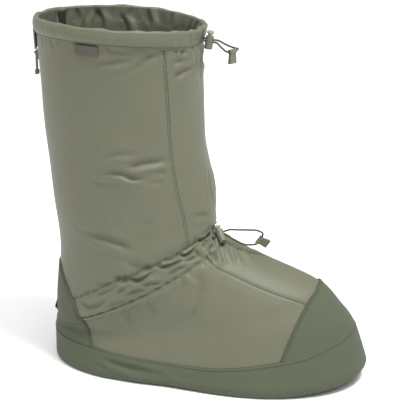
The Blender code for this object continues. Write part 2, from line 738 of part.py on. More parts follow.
def build_zip(parts, cutters, tape_material, metal_material):
    """The closed zip down the back, its slider with a bail, and the pull that hangs on it."""
    tape_top = float(surface(math.pi, HEM_BOTTOM)[2]) - SLIDER_LENGTH * 0.1
    tape_bottom = COUNTER_HEIGHT * BOOT_HEIGHT + ZIP_BOTTOM_RISE
    pad_on_upper("zip_tape", math.pi, (tape_top + tape_bottom) / 2.0, ZIP_WIDTH, tape_top - tape_bottom,
                 ZIP_THICKNESS, 2.0 * GAP, parts, tape_material, columns=3, rows=24)
    tab_bottom = REAR_TAB_LEVEL * BOOT_HEIGHT - REAR_TAB_HEIGHT / 2.0
    slider_z = tab_bottom - SLIDER_DROP - SLIDER_LENGTH * 0.15
    seat = back_frame(slider_z, ZIP_THICKNESS + 3.0 * GAP)
    half_width = SLIDER_WIDTH / 2.0
    half_length = SLIDER_LENGTH / 2.0
    slider = box("zip_slider", (0.0, -half_width, -half_length), (SLIDER_THICKNESS, half_width, half_length),
                 parts, metal_material, seat)
    pin_x = SLIDER_THICKNESS + BAIL_RISE
    pin_z = half_length * 0.35
    post_out = PULL_WIDTH / 2.0 + PULL_CLEARANCE
    for side in (-1.0, 1.0):
        low_y, high_y = sorted((side * post_out, side * half_width))
        post = box("slider_post_joined", (SLIDER_THICKNESS * 0.5, low_y, pin_z - BAIL_RADIUS * 1.4),
                   (pin_x + BAIL_RADIUS * 1.4, high_y, pin_z + BAIL_RADIUS * 1.4),
                   cutters, metal_material, seat)
        mark_cutter(post)
        add_boolean(slider, post, "UNION")
    pin_frame = seat @ Matrix.Translation((pin_x, 0.0, pin_z))
    pin = cylinder("slider_pin_joined", BAIL_RADIUS, -half_width * 0.98, half_width * 0.98, 12,
                   cutters, metal_material, pin_frame, "Y")
    mark_cutter(pin)
    add_boolean(slider, pin, "UNION")

    hang = Matrix.Translation(pin_frame.translation)
    eye_radius = BAIL_RADIUS + GAP * 0.3
    half_pull = PULL_WIDTH / 2.0
    half_thick = PULL_THICKNESS / 2.0
    pull = cylinder("zip_pull", eye_radius + half_thick, -half_pull, half_pull, 16, parts, metal_material,
                    hang, "Y")
    knob_low = -PULL_LENGTH
    knob_high = knob_low + PULL_KNOB * 1.3
    strap = box("pull_strap_joined", (-half_thick, -half_pull * 0.62, (knob_low + knob_high) / 2.0),
                (half_thick, half_pull * 0.62, 0.0), cutters, metal_material, hang)
    knob = box("pull_knob_joined", (-PULL_KNOB / 2.0, -half_pull, knob_low),
               (PULL_KNOB / 2.0, half_pull, knob_high), cutters, metal_material, hang)
    soft = knob.modifiers.new("rounding", "BEVEL")
    soft.width = PULL_KNOB * 0.28
    soft.segments = 2
    for joined in (strap, knob):
        mark_cutter(joined)
        add_boolean(pull, joined, "UNION")
    eye = cylinder("pull_eye_cutter", eye_radius, -PULL_WIDTH, PULL_WIDTH, 12, cutters, metal_material,
                   hang, "Y")
    mark_cutter(eye)
    add_boolean(pull, eye, "DIFFERENCE")


def build_trim(parts, web_material, label_material, tab_material):
    """The closing tab over the zip, the heel tab, the blank label and the tab inside the collar."""
    pad_on_upper("rear_tab", math.pi, REAR_TAB_LEVEL * BOOT_HEIGHT, REAR_TAB_WIDTH, REAR_TAB_HEIGHT,
                 REAR_TAB_THICKNESS, ZIP_THICKNESS + 4.0 * GAP, parts, tab_material)
    pad_on_upper("heel_tab", math.pi, HEEL_TAB_LEVEL * BOOT_HEIGHT, HEEL_TAB_WIDTH, HEEL_TAB_HEIGHT,
                 HEEL_TAB_THICKNESS, OVERLAY + 2.0 * GAP, parts, web_material, columns=4)
    turn = math.radians(LABEL_TURN)
    hem_edge = float(surface(turn, HEM_BOTTOM)[2])
    pad_on_upper("side_label", turn, hem_edge - LABEL_DROP - LABEL_HEIGHT / 2.0, LABEL_WIDTH, LABEL_HEIGHT,
                 LABEL_THICKNESS, GAP, parts, label_material, rows=3)
    pad_on_upper("inner_tab", math.radians(INNER_TAB_TURN), INNER_TAB_LEVEL * BOOT_HEIGHT, INNER_TAB_WIDTH,
                 INNER_TAB_HEIGHT, INNER_TAB_THICKNESS, HEM_CLOTH + 2.0 * GAP, parts, web_material,
                 inside=True, columns=3)


def build_drawcord(name, lock_places, clip_places, exit_places, exit_lift, out_high, out_low,
                   parts, cutters, materials):
    cord_material, shell_material, button_material, clip_material = materials
    lock = build_lock(name + "_lock", *lock_places, parts, cutters, shell_material, button_material)
    clip = build_clip(name + "_cord_end", *clip_places, parts, cutters, clip_material)
    exits = [exit_point(place, exit_lift) for place in exit_places]
    build_cord(name + "_cord", cord_route(lock, clip, exits, out_high, out_low), parts, cord_material)


def main():
    clear_scene()
    parts = new_collection("overboot")
    cutters = new_collection("cutters")
    olive = new_material("cloth_olive", CLOTH_OLIVE, 0.62)
    dark = new_material("cloth_dark", CLOTH_DARK, 0.85)
    sole = new_material("sole_dark", SOLE_DARK, 0.9)
    cord = new_material("cord_grey", CORD_GREY, 0.8)
    plastic = new_material("plastic_olive", PLASTIC_OLIVE, 0.5)
    pale = new_material("plastic_pale", PLASTIC_PALE, 0.45)
    web = new_material("web_black", WEB_BLACK, 0.75)
    label = new_material("label_grey", LABEL_GREY, 0.8)

    build_outsole(parts, sole)
    build_insole(parts, olive)
    build_upper(parts, olive)
    build_rand(parts, dark)
    build_toe_cap(parts, cutters, dark)
    build_heel_counter(parts, cutters, dark)
    build_collar_hem(parts, olive)
    build_zip(parts, cutters, web, plastic)
    build_trim(parts, web, label, olive)
    trims = (cord, plastic, pale, plastic)
    cord_lift = CORD_DIAMETER / 2.0 + GAP
    build_drawcord("collar", (COLLAR_LOCK_BASE, COLLAR_LOCK_TOP, COLLAR_CORD_AIM),
                   (COLLAR_CLIP, COLLAR_CLIP_BAR, COLLAR_CLIP_DOWN), (COLLAR_EXIT_HIGH, COLLAR_EXIT_LOW),
                   HEM_CLOTH + 2.0 * GAP + cord_lift, COLLAR_OUT_HIGH, COLLAR_OUT_LOW,
                   parts, cutters, trims)
    build_drawcord("ankle", (ANKLE_LOCK_BASE, ANKLE_LOCK_TOP, ANKLE_CORD_AIM),
                   (ANKLE_CLIP, ANKLE_CLIP_BAR, ANKLE_CLIP_DOWN), (ANKLE_EXIT_HIGH, ANKLE_EXIT_LOW),
                   GAP + cord_lift, ANKLE_OUT_HIGH, ANKLE_OUT_LOW, parts, cutters, trims)


main()
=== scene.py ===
# Dressed scene of the waterproof overboot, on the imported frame.
# Lengths are in metres unless a name says otherwise. The toe points to +X, the outer side is -Y.
import math

import bpy
import numpy as np
from mathutils import Matrix, Vector


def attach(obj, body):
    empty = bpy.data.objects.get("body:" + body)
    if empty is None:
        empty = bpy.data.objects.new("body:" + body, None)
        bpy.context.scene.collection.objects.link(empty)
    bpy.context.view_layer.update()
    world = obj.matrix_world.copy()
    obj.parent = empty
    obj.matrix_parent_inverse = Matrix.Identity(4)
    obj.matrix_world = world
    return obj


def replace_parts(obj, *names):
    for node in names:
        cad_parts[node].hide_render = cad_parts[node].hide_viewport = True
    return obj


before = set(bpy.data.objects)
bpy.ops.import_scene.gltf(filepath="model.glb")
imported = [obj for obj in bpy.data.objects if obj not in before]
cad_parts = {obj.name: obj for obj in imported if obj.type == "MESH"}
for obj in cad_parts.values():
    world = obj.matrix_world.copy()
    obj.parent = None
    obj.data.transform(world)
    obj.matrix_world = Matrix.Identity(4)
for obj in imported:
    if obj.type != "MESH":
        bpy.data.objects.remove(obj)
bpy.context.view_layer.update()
MM = 0.001

# Camera, in the frame: the photograph's angle to the boot
CAMERA_TURN = 13.8
CAMERA_RISE = 17.45
CAMERA_ROLL = 0.12
CAMERA_DISTANCE = 1.3266
CAMERA_AIM = (0.1076, 0.0, 0.1887)
CAMERA_LENS = 112.75

# Sizes shared with the solids
FOOT_LENGTH = 0.343
BALL_WIDTH = 0.150
BOOT_HEIGHT = 0.379
HEEL_REST = 0.055
SOLE_THICKNESS = 0.008
SOLE_ROUND = 0.007
TOE_SPRING = 0.012
TOE_SWING = 0.008
ARCH_LIFT = 0.002
INSOLE_THICKNESS = 0.004
GAP = 0.0003
UPPER_WALL = 0.002
OVERLAY = 0.0013
SPRING_START = 0.68
ARCH_MIDDLE = 0.42
ARCH_HALF = 0.13
SWING_START = 0.45
SPRING_FADE = 0.45
CORD_DIAMETER = 0.002

# Sections: v, front, back, front_up, back_up, outer, inner, foot, side
SECTIONS = np.array([
    [0.00, 1.000, 0.000, 0.000, 0.000, 0.508, 0.500, 1.00, 0.000],
    [0.12, 0.958, 0.000, 0.125, 0.076, 0.468, 0.462, 1.00, -0.055],
    [0.26, 0.914, 0.002, 0.192, 0.084, 0.432, 0.427, 0.90, -0.027],
    [0.38, 0.855, 0.003, 0.254, 0.092, 0.396, 0.390, 0.80, -0.022],
    [0.48, 0.675, 0.006, 0.325, 0.102, 0.390, 0.382, 0.65, -0.021],
    [0.58, 0.560, 0.011, 0.373, 0.117, 0.418, 0.411, 0.35, -0.031],
    [0.64, 0.518, 0.013, 0.399, 0.172, 0.414, 0.409, 0.15, -0.013],
    [0.72, 0.523, 0.020, 0.480, 0.353, 0.420, 0.420, 0.00, 0.000],
    [0.84, 0.486, -0.008, 0.680, 0.613, 0.445, 0.445, 0.00, 0.000],
    [0.94, 0.477, -0.029, 0.925, 0.948, 0.484, 0.484, 0.00, 0.010],
    [0.97, 0.475, -0.030, 0.952, 0.976, 0.498, 0.498, 0.00, 0.008],
    [1.00, 0.486, -0.032, 0.980, 1.003, 0.510, 0.510, 0.00, 0.006],
])
# Outline of the sole: share from heel to toe, outer and inner widening
PLAN = np.array([
    [0.00, 1.10, 1.10],
    [0.15, 1.04, 1.03],
    [0.40, 0.91, 0.74],
    [0.70, 1.07, 1.06],
    [0.90, 1.20, 1.22],
    [1.00, 1.30, 1.32],
])
# Top of the rand round the foot: degrees from the toe, row of the upper
RAND_TOP = np.array([
    [0.0, 0.120], [40.0, 0.114], [60.0, 0.124], [85.0, 0.121], [104.0, 0.128], [118.0, 0.150],
    [132.0, 0.165], [152.0, 0.130], [180.0, 0.108],
])
HEM_ROW = 0.950
CHANNEL_LOW = 0.584
CHANNEL_HIGH = 0.650
# Degrees where the channel starts to drop and where its relief ends at the counter
CHANNEL_TURN = 92.0
CHANNEL_END = 134.0


def smooth_table(table, at):
    """Values of a table between its rows, on smooth curves that never overshoot."""
    knots = table[:, 0]
    values = table[:, 1:]
    steps = np.diff(knots)[:, None]
    slopes = np.diff(values, axis=0) / steps
    tangents = np.zeros_like(values)
    same_way = slopes[:-1] * slopes[1:] > 0.0
    weight_low = 2.0 * steps[1:] + steps[:-1]
    weight_high = steps[1:] + 2.0 * steps[:-1]
    low_slope = np.where(same_way, slopes[:-1], 1.0)
    high_slope = np.where(same_way, slopes[1:], 1.0)
    mean = (weight_low + weight_high) / (weight_low / low_slope + weight_high / high_slope)
    tangents[1:-1] = np.where(same_way, mean, 0.0)
    tangents[0] = slopes[0]
    tangents[-1] = slopes[-1]
    at = np.asarray(at, dtype=float)
    row = np.clip(np.searchsorted(knots, at, side="right") - 1, 0, len(knots) - 2)
    width = steps[row]
    t = np.clip((at - knots[row]) / steps[row, 0], 0.0, 1.0)[..., None]
    low = (2.0 * t ** 3 - 3.0 * t ** 2 + 1.0) * values[row]
    low_turn = (t ** 3 - 2.0 * t ** 2 + t) * width * tangents[row]
    high = (3.0 * t ** 2 - 2.0 * t ** 3) * values[row + 1]
    high_turn = (t ** 3 - t ** 2) * width * tangents[row + 1]
    return low + low_turn + high + high_turn


def underside(x):
    share = x / FOOT_LENGTH
    spring = TOE_SPRING * np.clip((share - SPRING_START) / (1.0 - SPRING_START), 0.0, None) ** 2
    arch = ARCH_LIFT * np.clip(1.0 - ((share - ARCH_MIDDLE) / ARCH_HALF) ** 2, 0.0, None)
    return spring + arch


def plain_surface(u, v):
    """Outside of the upper, before its folds. u turns from the toe by the outer side to the heel."""
    u, v = np.broadcast_arrays(np.asarray(u, dtype=float), np.asarray(v, dtype=float))
    columns = np.moveaxis(smooth_table(SECTIONS, v), -1, 0)
    front, back, front_up, back_up, outer, inner, foot, side = columns
    along = (1.0 + np.cos(u)) / 2.0
    across = np.sin(u)
    plan = smooth_table(PLAN, along)
    outer_side = across > 0.0
    plan_width = np.where(outer_side, plan[..., 0], plan[..., 1])
    half_width = np.where(outer_side, outer, inner) * BALL_WIDTH
    half_width = half_width * (foot * plan_width + 1.0 - foot)
    x = (back + (front - back) * along) * FOOT_LENGTH
    swing = TOE_SWING * np.clip((x / FOOT_LENGTH - SWING_START) / (1.0 - SWING_START), 0.0, None) ** 1.6
    y = swing - half_width * across
    rise = BOOT_HEIGHT - SOLE_THICKNESS
    z = SOLE_THICKNESS + (back_up + (front_up - back_up) * along + side * across ** 2) * rise
    z = z + underside(x) * np.clip(1.0 - v / SPRING_FADE, 0.0, 1.0) * foot
    return np.stack([x - HEEL_REST, y, z], axis=-1)


def unit(vectors):
    return vectors / np.maximum(np.linalg.norm(vectors, axis=-1), 1e-12)[..., None]


def bell(values, middle, width):
    return np.exp(-((values - middle) / width) ** 2)


def degrees_of(u):
    """Degrees from the toe, between -180 and 180."""
    return np.degrees((np.asarray(u) + math.pi) % (2.0 * math.pi) - math.pi)


def full_turn(count):
    """Places round the boot: from the heel by the inner side, the toe and the outer side."""
    return np.arange(count) * 2.0 * math.pi / count + math.pi


def outward(u, v):
    turn = 0.01
    climb = 0.004
    v = np.asarray(v, dtype=float)
    around = plain_surface(u + turn, v) - plain_surface(u - turn, v)
    upward = plain_surface(u, np.minimum(v + climb, 1.0)) - plain_surface(u, np.maximum(v - climb, 0.0))
    return unit(np.cross(upward, around))


def outline_normal(u):
    turn = 0.01
    around = plain_surface(u + turn, 0.0) - plain_surface(u - turn, 0.0)
    return unit(np.stack([-around[..., 1], around[..., 0], 0.0 * around[..., 0]], axis=-1))


def sole_edge(u, height):
    """Edge of the sole: rounded under at height 0, upright at height 1."""
    edge = plain_surface(u, 0.0)
    turn = (1.0 - height) * math.pi / 2.0
    point = edge - outline_normal(u) * SOLE_ROUND * (1.0 - math.cos(turn))
    point[..., 2] = underside(edge[..., 0] + HEEL_REST) + (SOLE_THICKNESS - GAP) * (1.0 - math.sin(turn))
    return point


LEVELS = np.linspace(0.0, 1.0, 401)


def row_at(degrees, height_mm):
    """The row of the upper at a height, for one place round the leg."""
    heights = plain_surface(math.radians(degrees), LEVELS)[:, 2]
    return np.interp(np.asarray(height_mm) * MM, heights, LEVELS)


def line_by_height(points, steps=5):
    """A line on the boot through places given as degrees and millimetres of height."""
    return line_by_row([(degrees, row_at(degrees, height)) for degrees, height in points], steps)


def side_line(points, side, steps=5):
    """Such a line on the outer side, or mirrored to the inner side."""
    return line_by_height([(side * degrees, height) for degrees, height in points], steps)


def line_by_row(points, steps=5):
    """A line on the boot through places given as degrees and rows, as an array of (u, v)."""
    knots = np.arange(len(points), dtype=float)
    at = np.linspace(0.0, knots[-1], steps * (len(points) - 1) + 1)
    table = np.column_stack([knots, np.array(points, dtype=float)])
    line = smooth_table(table, at)
    return np.column_stack([np.radians(line[:, 0]), line[:, 1]])


# Folds of the cloth on the outer side: places as (degrees from the toe, height in mm),
# then width and depth in mm, and the side of the raised lip (1 below, -1 above, 0 both).
FOLDS = [
    ([(99, 230), (83, 231), (76, 227), (64, 226)], 3.4, 2.3, 1),
    ([(77, 237), (67, 241), (44, 244)], 4.0, 2.2, 1),
    ([(95, 245), (83, 251), (67, 251)], 3.6, 1.2, 1),
    ([(106, 250), (93, 255)], 4.0, 0.7, 1),
    ([(105, 219), (92, 218)], 4.0, 0.8, 1),
    ([(58, 230), (50, 232)], 3.4, 0.9, 1),
    ([(65, 221), (54, 221)], 3.4, 0.8, 1),
    ([(122, 163), (104, 159), (91, 155), (80, 148)], 5.0, 2.6, 1),
    ([(80, 178), (64, 176)], 5.0, 0.9, 1),
    ([(98, 172), (84, 168)], 5.0, 0.7, 1),
    ([(36, 181), (14, 177)], 3.6, 1.2, 1),
    ([(5, 224), (9, 206), (9, 190)], 3.0, 1.0, 1),
    ([(96, 343), (80, 346), (66, 350)], 4.2, 1.7, 1),
    ([(74, 333), (65, 341), (55, 351), (46, 355)], 4.2, 1.6, 1),
    ([(82, 358), (70, 355)], 3.4, 1.0, 1),
    ([(42, 339), (30, 344), (8, 344)], 3.8, 1.5, 1),
    ([(40, 326), (28, 333), (2, 338)], 4.6, 2.0, 1),
    ([(36, 355), (20, 350)], 3.2, 1.3, 1),
    ([(88, 139), (64, 128)], 5.0, 1.7, 1),
    ([(98, 118), (76, 117)], 3.6, 1.7, 1),
    ([(90, 113), (80, 110)], 2.8, 1.3, 1),
    ([(112, 108), (99, 108)], 3.2, 1.0, 1),
    ([(45, 127), (49, 117), (70, 88), (86, 69)], 5.0, 1.5, 1),
    ([(52, 121), (62, 106)], 3.4, 1.1, 1),
    ([(79, 94), (90, 73)], 3.4, 1.1, 1),
    ([(83, 93), (94, 76)], 3.2, 0.9, -1),
    ([(93, 82), (106, 60)], 3.6, 1.1, 1),
    ([(19, 147), (31, 132)], 3.0, 2.2, 1),
    ([(14, 145), (30, 128)], 3.2, 1.6, 1),
    ([(8, 143), (23, 130)], 3.2, 1.5, -1),
    ([(3, 141), (19, 130)], 3.4, 1.2, 1),
    ([(-3, 140), (8, 130)], 3.4, 1.0, 1),
]
RAND_FOLDS = [
    ([(126, 21), (115, 15), (104, 9)], 3.6, 1.5, 1),
    ([(118, 19), (107, 13), (98, 8)], 3.8, 1.7, 1),
    ([(130, 14), (121, 8)], 3.4, 0.9, 1),
    ([(96, 15), (88, 9)], 4.0, 0.6, 1),
]
SEAM_OUTER = [(46, 361), (44, 291), (44, 244), (45, 207), (40, 158), (39, 150)]
VAMP_SEAM = [(30, 138), (34, 126), (34, 114), (33, 104), (28, 95), (26, 91.5)]


def channel_rows(degrees):
    """Lower and upper stitch rows of the ankle channel, which drops towards the heel."""
    away = np.abs((degrees + 180.0) % 360.0 - 180.0)
    drop = np.clip(away - CHANNEL_TURN, 0.0, None) / 40.0
    return CHANNEL_LOW - 0.018 * drop, CHANNEL_HIGH - 0.013 * drop


def channel_place(degrees, share):
    low, high = channel_rows(degrees)
    return degrees, low + (high - low) * share


def make_strokes():
    """Every fold as a line in space with its width, depth and lip."""
    chance = np.random.RandomState(7)
    strokes = []

    def add(line, width, depth, lip):
        points = plain_surface(line[:, 0], line[:, 1])
        strokes.append((points, width * MM, depth * MM, lip))

    for points, width, depth, lip in FOLDS:
        add(line_by_height(points), width, depth, lip)
        shift = chance.uniform(-9.0, 11.0) if points[0][1] > 165 else chance.uniform(-3.0, 3.0)
        turn = chance.uniform(0.86, 1.10)
        mirrored = [(-degrees * turn, height + shift) for degrees, height in points]
        add(line_by_height(mirrored), width * chance.uniform(0.9, 1.3), depth * chance.uniform(0.6, 1.0), -lip)
    for points, width, depth, lip in RAND_FOLDS:
        add(side_line(points, 1.0), width, depth, lip)
        add(side_line(points, -1.0), width, depth * 0.8, -lip)
    # Deep gathers of the ankle channel beside the lock: degrees, share across
    ruffles = [
        ([(123, 0.90), (112, 0.50), (97, 0.55)], 2.6, 1.7), ([(87, 0.43), (80, 0.40), (73, 0.20)], 2.2, 1.5),
        ([(76, 0.50), (69, 0.36), (63, 0.15)], 2.2, 1.5), ([(85, 1.05), (76, 0.72), (62, 0.74)], 2.3, 2.4),
        ([(66, 1.02), (55, 0.68), (42, 0.55)], 2.3, 2.5), ([(47, 1.02), (40, 0.68), (28, 0.78)], 2.2, 2.6),
        ([(35, 0.66), (33, 0.40), (33, 0.10)], 2.4, 2.4), ([(44, 0.42), (39, 0.36), (34, 0.20)], 2.0, 1.6),
        ([(29, 1.12), (20, 0.88), (7, 0.96)], 2.2, 2.4), ([(27, 0.50), (21, 0.62), (14, 0.55)], 2.0, 2.0),
        ([(20, 0.05), (14, 0.35), (9, 0.80)], 2.0, 2.4), ([(11, 0.05), (6, 0.40), (2, 0.90)], 2.0, 2.4),
        ([(26, 0.10), (21, 0.25), (17, 0.12)], 2.0, 1.5), ([(103, 0.30), (94, 0.25), (86, 0.12)], 2.4, 1.2),
        ([(110, 0.80), (100, 0.78), (90, 0.86)], 2.4, 1.3), ([(58, 0.30), (51, 0.34), (45, 0.14)], 2.2, 1.4),
        ([(94, 0.60), (87, 0.66), (80, 0.60)], 2.2, 1.3), ([(56, 0.95), (50, 0.84), (44, 0.90)], 2.0, 1.7),
    ]
    for side in (1.0, -1.0):
        for places, width, depth in ruffles:
            jitter = 0.0 if side > 0.0 else chance.uniform(-4.0, 4.0)
            rows = [channel_place(side * (turn + jitter), share) for turn, share in places]
            add(line_by_row(rows, 4), width, depth, -int(side))
        # Short puckers that fan out of both stitch rows, deeper towards the lock
        turn = 4.0
        while turn < 122.0:
            strength = 1.0 - 0.8 * turn / 128.0
            low, high = channel_rows(turn)
            lean = chance.uniform(-1.5, 3.5)
            length = chance.uniform(0.016, 0.032)
            start = (side * turn, high - 0.008)
            end = (side * (turn + lean), high + length)
            add(line_by_row([start, end], 4), chance.uniform(1.8, 2.8), strength * chance.uniform(0.3, 1.0),
                int(chance.choice((-1, 1))))
            shift = chance.uniform(1.0, 4.0)
            start = (side * (turn + shift), low + 0.010)
            end = (side * (turn + shift + lean + 4.0), low - length * 1.1)
            add(line_by_row([start, end], 4), chance.uniform(1.8, 2.8), strength * chance.uniform(0.3, 0.9),
                int(chance.choice((-1, 1))))
            turn += chance.uniform(7.0, 13.0)
    # Gathers under the collar cord, all round, short and soft
    turn = -176.0
    while turn < 176.0:
        near = bell(turn, 0.0, 45.0)
        top = HEM_ROW + 0.004
        start = (turn, top)
        end = (turn + chance.uniform(-3.0, 3.0), top - chance.uniform(0.012, 0.028) * (1.0 + near))
        if not 84.0 < turn < 112.0:
            width = chance.uniform(2.2, 3.6)
            add(line_by_row([start, end], 4), width, chance.uniform(0.3, 0.7) + 0.7 * near, 0)
        turn += chance.uniform(7.0, 15.0) * (1.0 - 0.45 * near)
    return strokes


STROKES = make_strokes()
FOLD_STRENGTH = 1.6
DEEPEST_FOLD = -3.4 * MM


def stroke_relief(points, normals, strokes):
    """Height of the folds at points of the boot."""
    height = np.zeros(len(points))
    for line, width, depth, lip in strokes:
        reach = 3.2 * width
        near = ((points > line.min(axis=0) - reach) & (points < line.max(axis=0) + reach)).all(axis=1)
        if not near.any():
            continue
        here = points[near]
        normal = normals[near]
        best = np.full(len(here), 1e9)
        signed = np.zeros(len(here))
        along = np.zeros(len(here))
        count = len(line) - 1
        for index in range(count):
            start = line[index]
            step = line[index + 1] - start
            share = np.clip(((here - start) @ step) / (step @ step), 0.0, 1.0)
            gap = here - (start + share[:, None] * step)
            distance = np.linalg.norm(gap, axis=1)
            side = np.sign(np.einsum("ij,ij->i", np.cross(step, normal), gap))
            closer = distance < best
            best = np.where(closer, distance, best)
            signed = np.where(closer, distance * side, signed)
            along = np.where(closer, (index + share) / count, along)
        taper = np.clip(np.minimum(along, 1.0 - along) / 0.32, 0.0, 1.0)
        taper = 0.15 + 0.85 * taper * taper * (3.0 - 2.0 * taper)
        ratio = signed / width
        profile = -np.exp(-np.abs(ratio) ** 1.35)
        if lip:
            profile += 0.70 * bell(lip * ratio, 1.45, 0.95) + 0.22 * bell(-lip * ratio, 1.7, 1.1)
        else:
            profile += 0.40 * bell(np.abs(ratio), 1.6, 0.9)
        height[near] += profile * depth * taper
    return height


def folds(u, v):
    """Folded height of the cloth over the plain surface."""
    u, v = np.broadcast_arrays(np.asarray(u, dtype=float), np.asarray(v, dtype=float))
    shape = u.shape
    u = u.ravel()
    v = v.ravel()
    points = plain_surface(u, v)
    normals = outward(u, v)
    degrees = degrees_of(u)
    away = np.abs(degrees)
    low, high = channel_rows(degrees)
    height = FOLD_STRENGTH * stroke_relief(points, normals, STROKES)
    height = np.where(height < DEEPEST_FOLD, DEEPEST_FOLD + 0.25 * (height - DEEPEST_FOLD), height)
    # The channel is pinched at its two stitch rows and puffed between them, as far as the counter
    pinch = bell(v, low, 0.0060) + bell(v, high, 0.0060)
    fade = np.clip((CHANNEL_END - away) / 12.0, 0.0, 1.0)
    waves = 1.0 + 0.45 * np.sin(away * 0.83 + 1.3 * np.sin(away * 0.21))
    height -= 1.7 * MM * pinch * fade * waves
    height += 2.2 * MM * bell((v - low) / (high - low), 0.5, 0.33) * fade
    height += 1.7 * MM * bell(v, high + 0.026, 0.017) * fade
    height += 0.9 * MM * bell(v, low - 0.026, 0.018) * fade
    # Broad slack of the cloth
    rise = points[:, 2]
    slack = np.sin(rise * 62.0 + 2.2 * np.sin(u * 2.0 + 0.6)) * np.sin(u * 3.0 + 1.1 + rise * 9.0)
    height += 0.9 * MM * slack * np.clip((v - 0.16) / 0.2, 0.0, 1.0)
    # Side seams and vamp seams lie in shallow grooves
    for groove in SEAM_GROOVES:
        height += stroke_relief(points, normals, [groove])
    return (height * np.clip((v - 0.02) / 0.06, 0.0, 1.0)).reshape(shape)


SEAM_LINES = {
    "side_outer": side_line(SEAM_OUTER, 1.0, 12),
    "side_inner": side_line(SEAM_OUTER, -1.0, 12),
    "vamp_outer": side_line(VAMP_SEAM, 1.0, 12),
    "vamp_inner": side_line(VAMP_SEAM, -1.0, 12),
}
GROOVE_WIDTH = 1.9 * MM
GROOVE_DEPTH = 0.55 * MM
SEAM_GROOVES = [(plain_surface(line[:, 0], line[:, 1]), GROOVE_WIDTH, GROOVE_DEPTH, 0)
                for line in SEAM_LINES.values()]


def depth_of_folds(u, v):
    return np.clip(-folds(u, v), 0.0, None)


def sheet(u, v, lift):
    """Points of the plain surface, moved off by a lift."""
    return plain_surface(u, v) + outward(u, v) * lift[..., None]


def cloth(u, v, lift=0.0):
    """Points of the folded cloth, moved off by a lift."""
    return sheet(u, v, folds(u, v) + lift)


# Materials

def new_material(name):
    material = bpy.data.materials.new(name)
    material.use_nodes = True
    return material, material.node_tree, material.node_tree.nodes["Principled BSDF"]


def feed(tree, node, sources):
    """Links sockets of a node, each to another node and its output."""
    for socket, (source, output) in sources.items():
        tree.links.new(source.outputs[output], node.inputs[socket])


def add_node(tree, kind, values, sources):
    node = tree.nodes.new("ShaderNode" + kind)
    for socket, value in values.items():
        node.inputs[socket].default_value = value
    feed(tree, node, sources)
    return node


def noise(tree, place, scale, detail=2.0):
    return add_node(tree, "TexNoise", {"Scale": scale, "Detail": detail}, {"Vector": (place, "Object")})


def spread(tree, source, low, high, start=0.0, end=1.0):
    """The value of a noise, from start to end, spread over low to high."""
    values = {"From Min": start, "From Max": end, "To Min": low, "To Max": high}
    return add_node(tree, "MapRange", values, {"Value": (source, "Fac")})


def product(tree, factors, output):
    node = add_node(tree, "Math", {}, {index: (factor, output) for index, factor in enumerate(factors)})
    node.operation = "MULTIPLY"
    return node


def bump(tree, source, output, strength, depth_mm, under=None):
    sources = {"Height": (source, output)}
    if under:
        sources["Normal"] = (under, "Normal")
    return add_node(tree, "Bump", {"Strength": strength, "Distance": depth_mm * MM}, sources)


def cloth_material(name, colour, weave_mm, weave_depth, roughness, mottle, sheen=0.0, twill=False):
    """Woven cloth: two crossed thread waves on the cloth's own map, with soft mottling."""
    material, tree, shader = new_material(name)
    place = add_node(tree, "TexCoord", {}, {})
    threads = []
    for turn in (45.0, 135.0) if twill else (0.0, 90.0):
        rotation = {"Rotation": (0.0, 0.0, math.radians(turn))}
        mapping = add_node(tree, "Mapping", rotation, {"Vector": (place, "UV")})
        wave = {"Scale": 1.0 / (weave_mm * MM * 3.2), "Distortion": 0.6, "Detail": 1.0}
        threads.append(add_node(tree, "TexWave", wave, {"Vector": (mapping, "Vector")}))
    cloud = noise(tree, place, 14.0, 3.0)
    shade = spread(tree, cloud, 1.0 - mottle, 1.0 + mottle, 0.3, 0.7)
    fine = spread(tree, noise(tree, place, 420.0), 0.965, 1.035, 0.3, 0.7)
    both = product(tree, (shade, fine), "Result")
    tint = add_node(tree, "MixRGB", {"Fac": 1.0, "Color1": (*colour, 1.0)}, {"Color2": (both, "Value")})
    tint.blend_type = "MULTIPLY"
    rough = spread(tree, cloud, roughness - 0.05, roughness + 0.05)
    weave = bump(tree, product(tree, threads, "Fac"), "Value", 0.3, weave_depth)
    ripple = bump(tree, noise(tree, place, 38.0), "Fac", 0.3, 0.8, weave)
    feed(tree, shader, {"Base Color": (tint, "Color"), "Roughness": (rough, "Result"),
                        "Normal": (ripple, "Normal")})
    shader.inputs["Sheen Weight"].default_value = sheen
    shader.inputs["Sheen Roughness"].default_value = 0.45
    shader.inputs["Specular IOR Level"].default_value = 0.35
    return material


def plastic_material(name, colour, roughness):
    """Moulded plastic: fine grain and a slow change of tone."""
    material, tree, shader = new_material(name)
    place = add_node(tree, "TexCoord", {}, {})
    grain = noise(tree, place, 900.0)
    tones = {socket: (*[channel * tone for channel in colour], 1.0)
             for socket, tone in (("Color1", 0.86), ("Color2", 1.12))}
    shade = add_node(tree, "MixRGB", tones, {"Fac": (noise(tree, place, 160.0), "Fac")})
    rough = spread(tree, grain, roughness - 0.06, roughness + 0.08)
    relief = bump(tree, grain, "Fac", 0.25, 0.05)
    feed(tree, shader, {"Base Color": (shade, "Color"), "Roughness": (rough, "Result"),
                        "Normal": (relief, "Normal")})
    return material


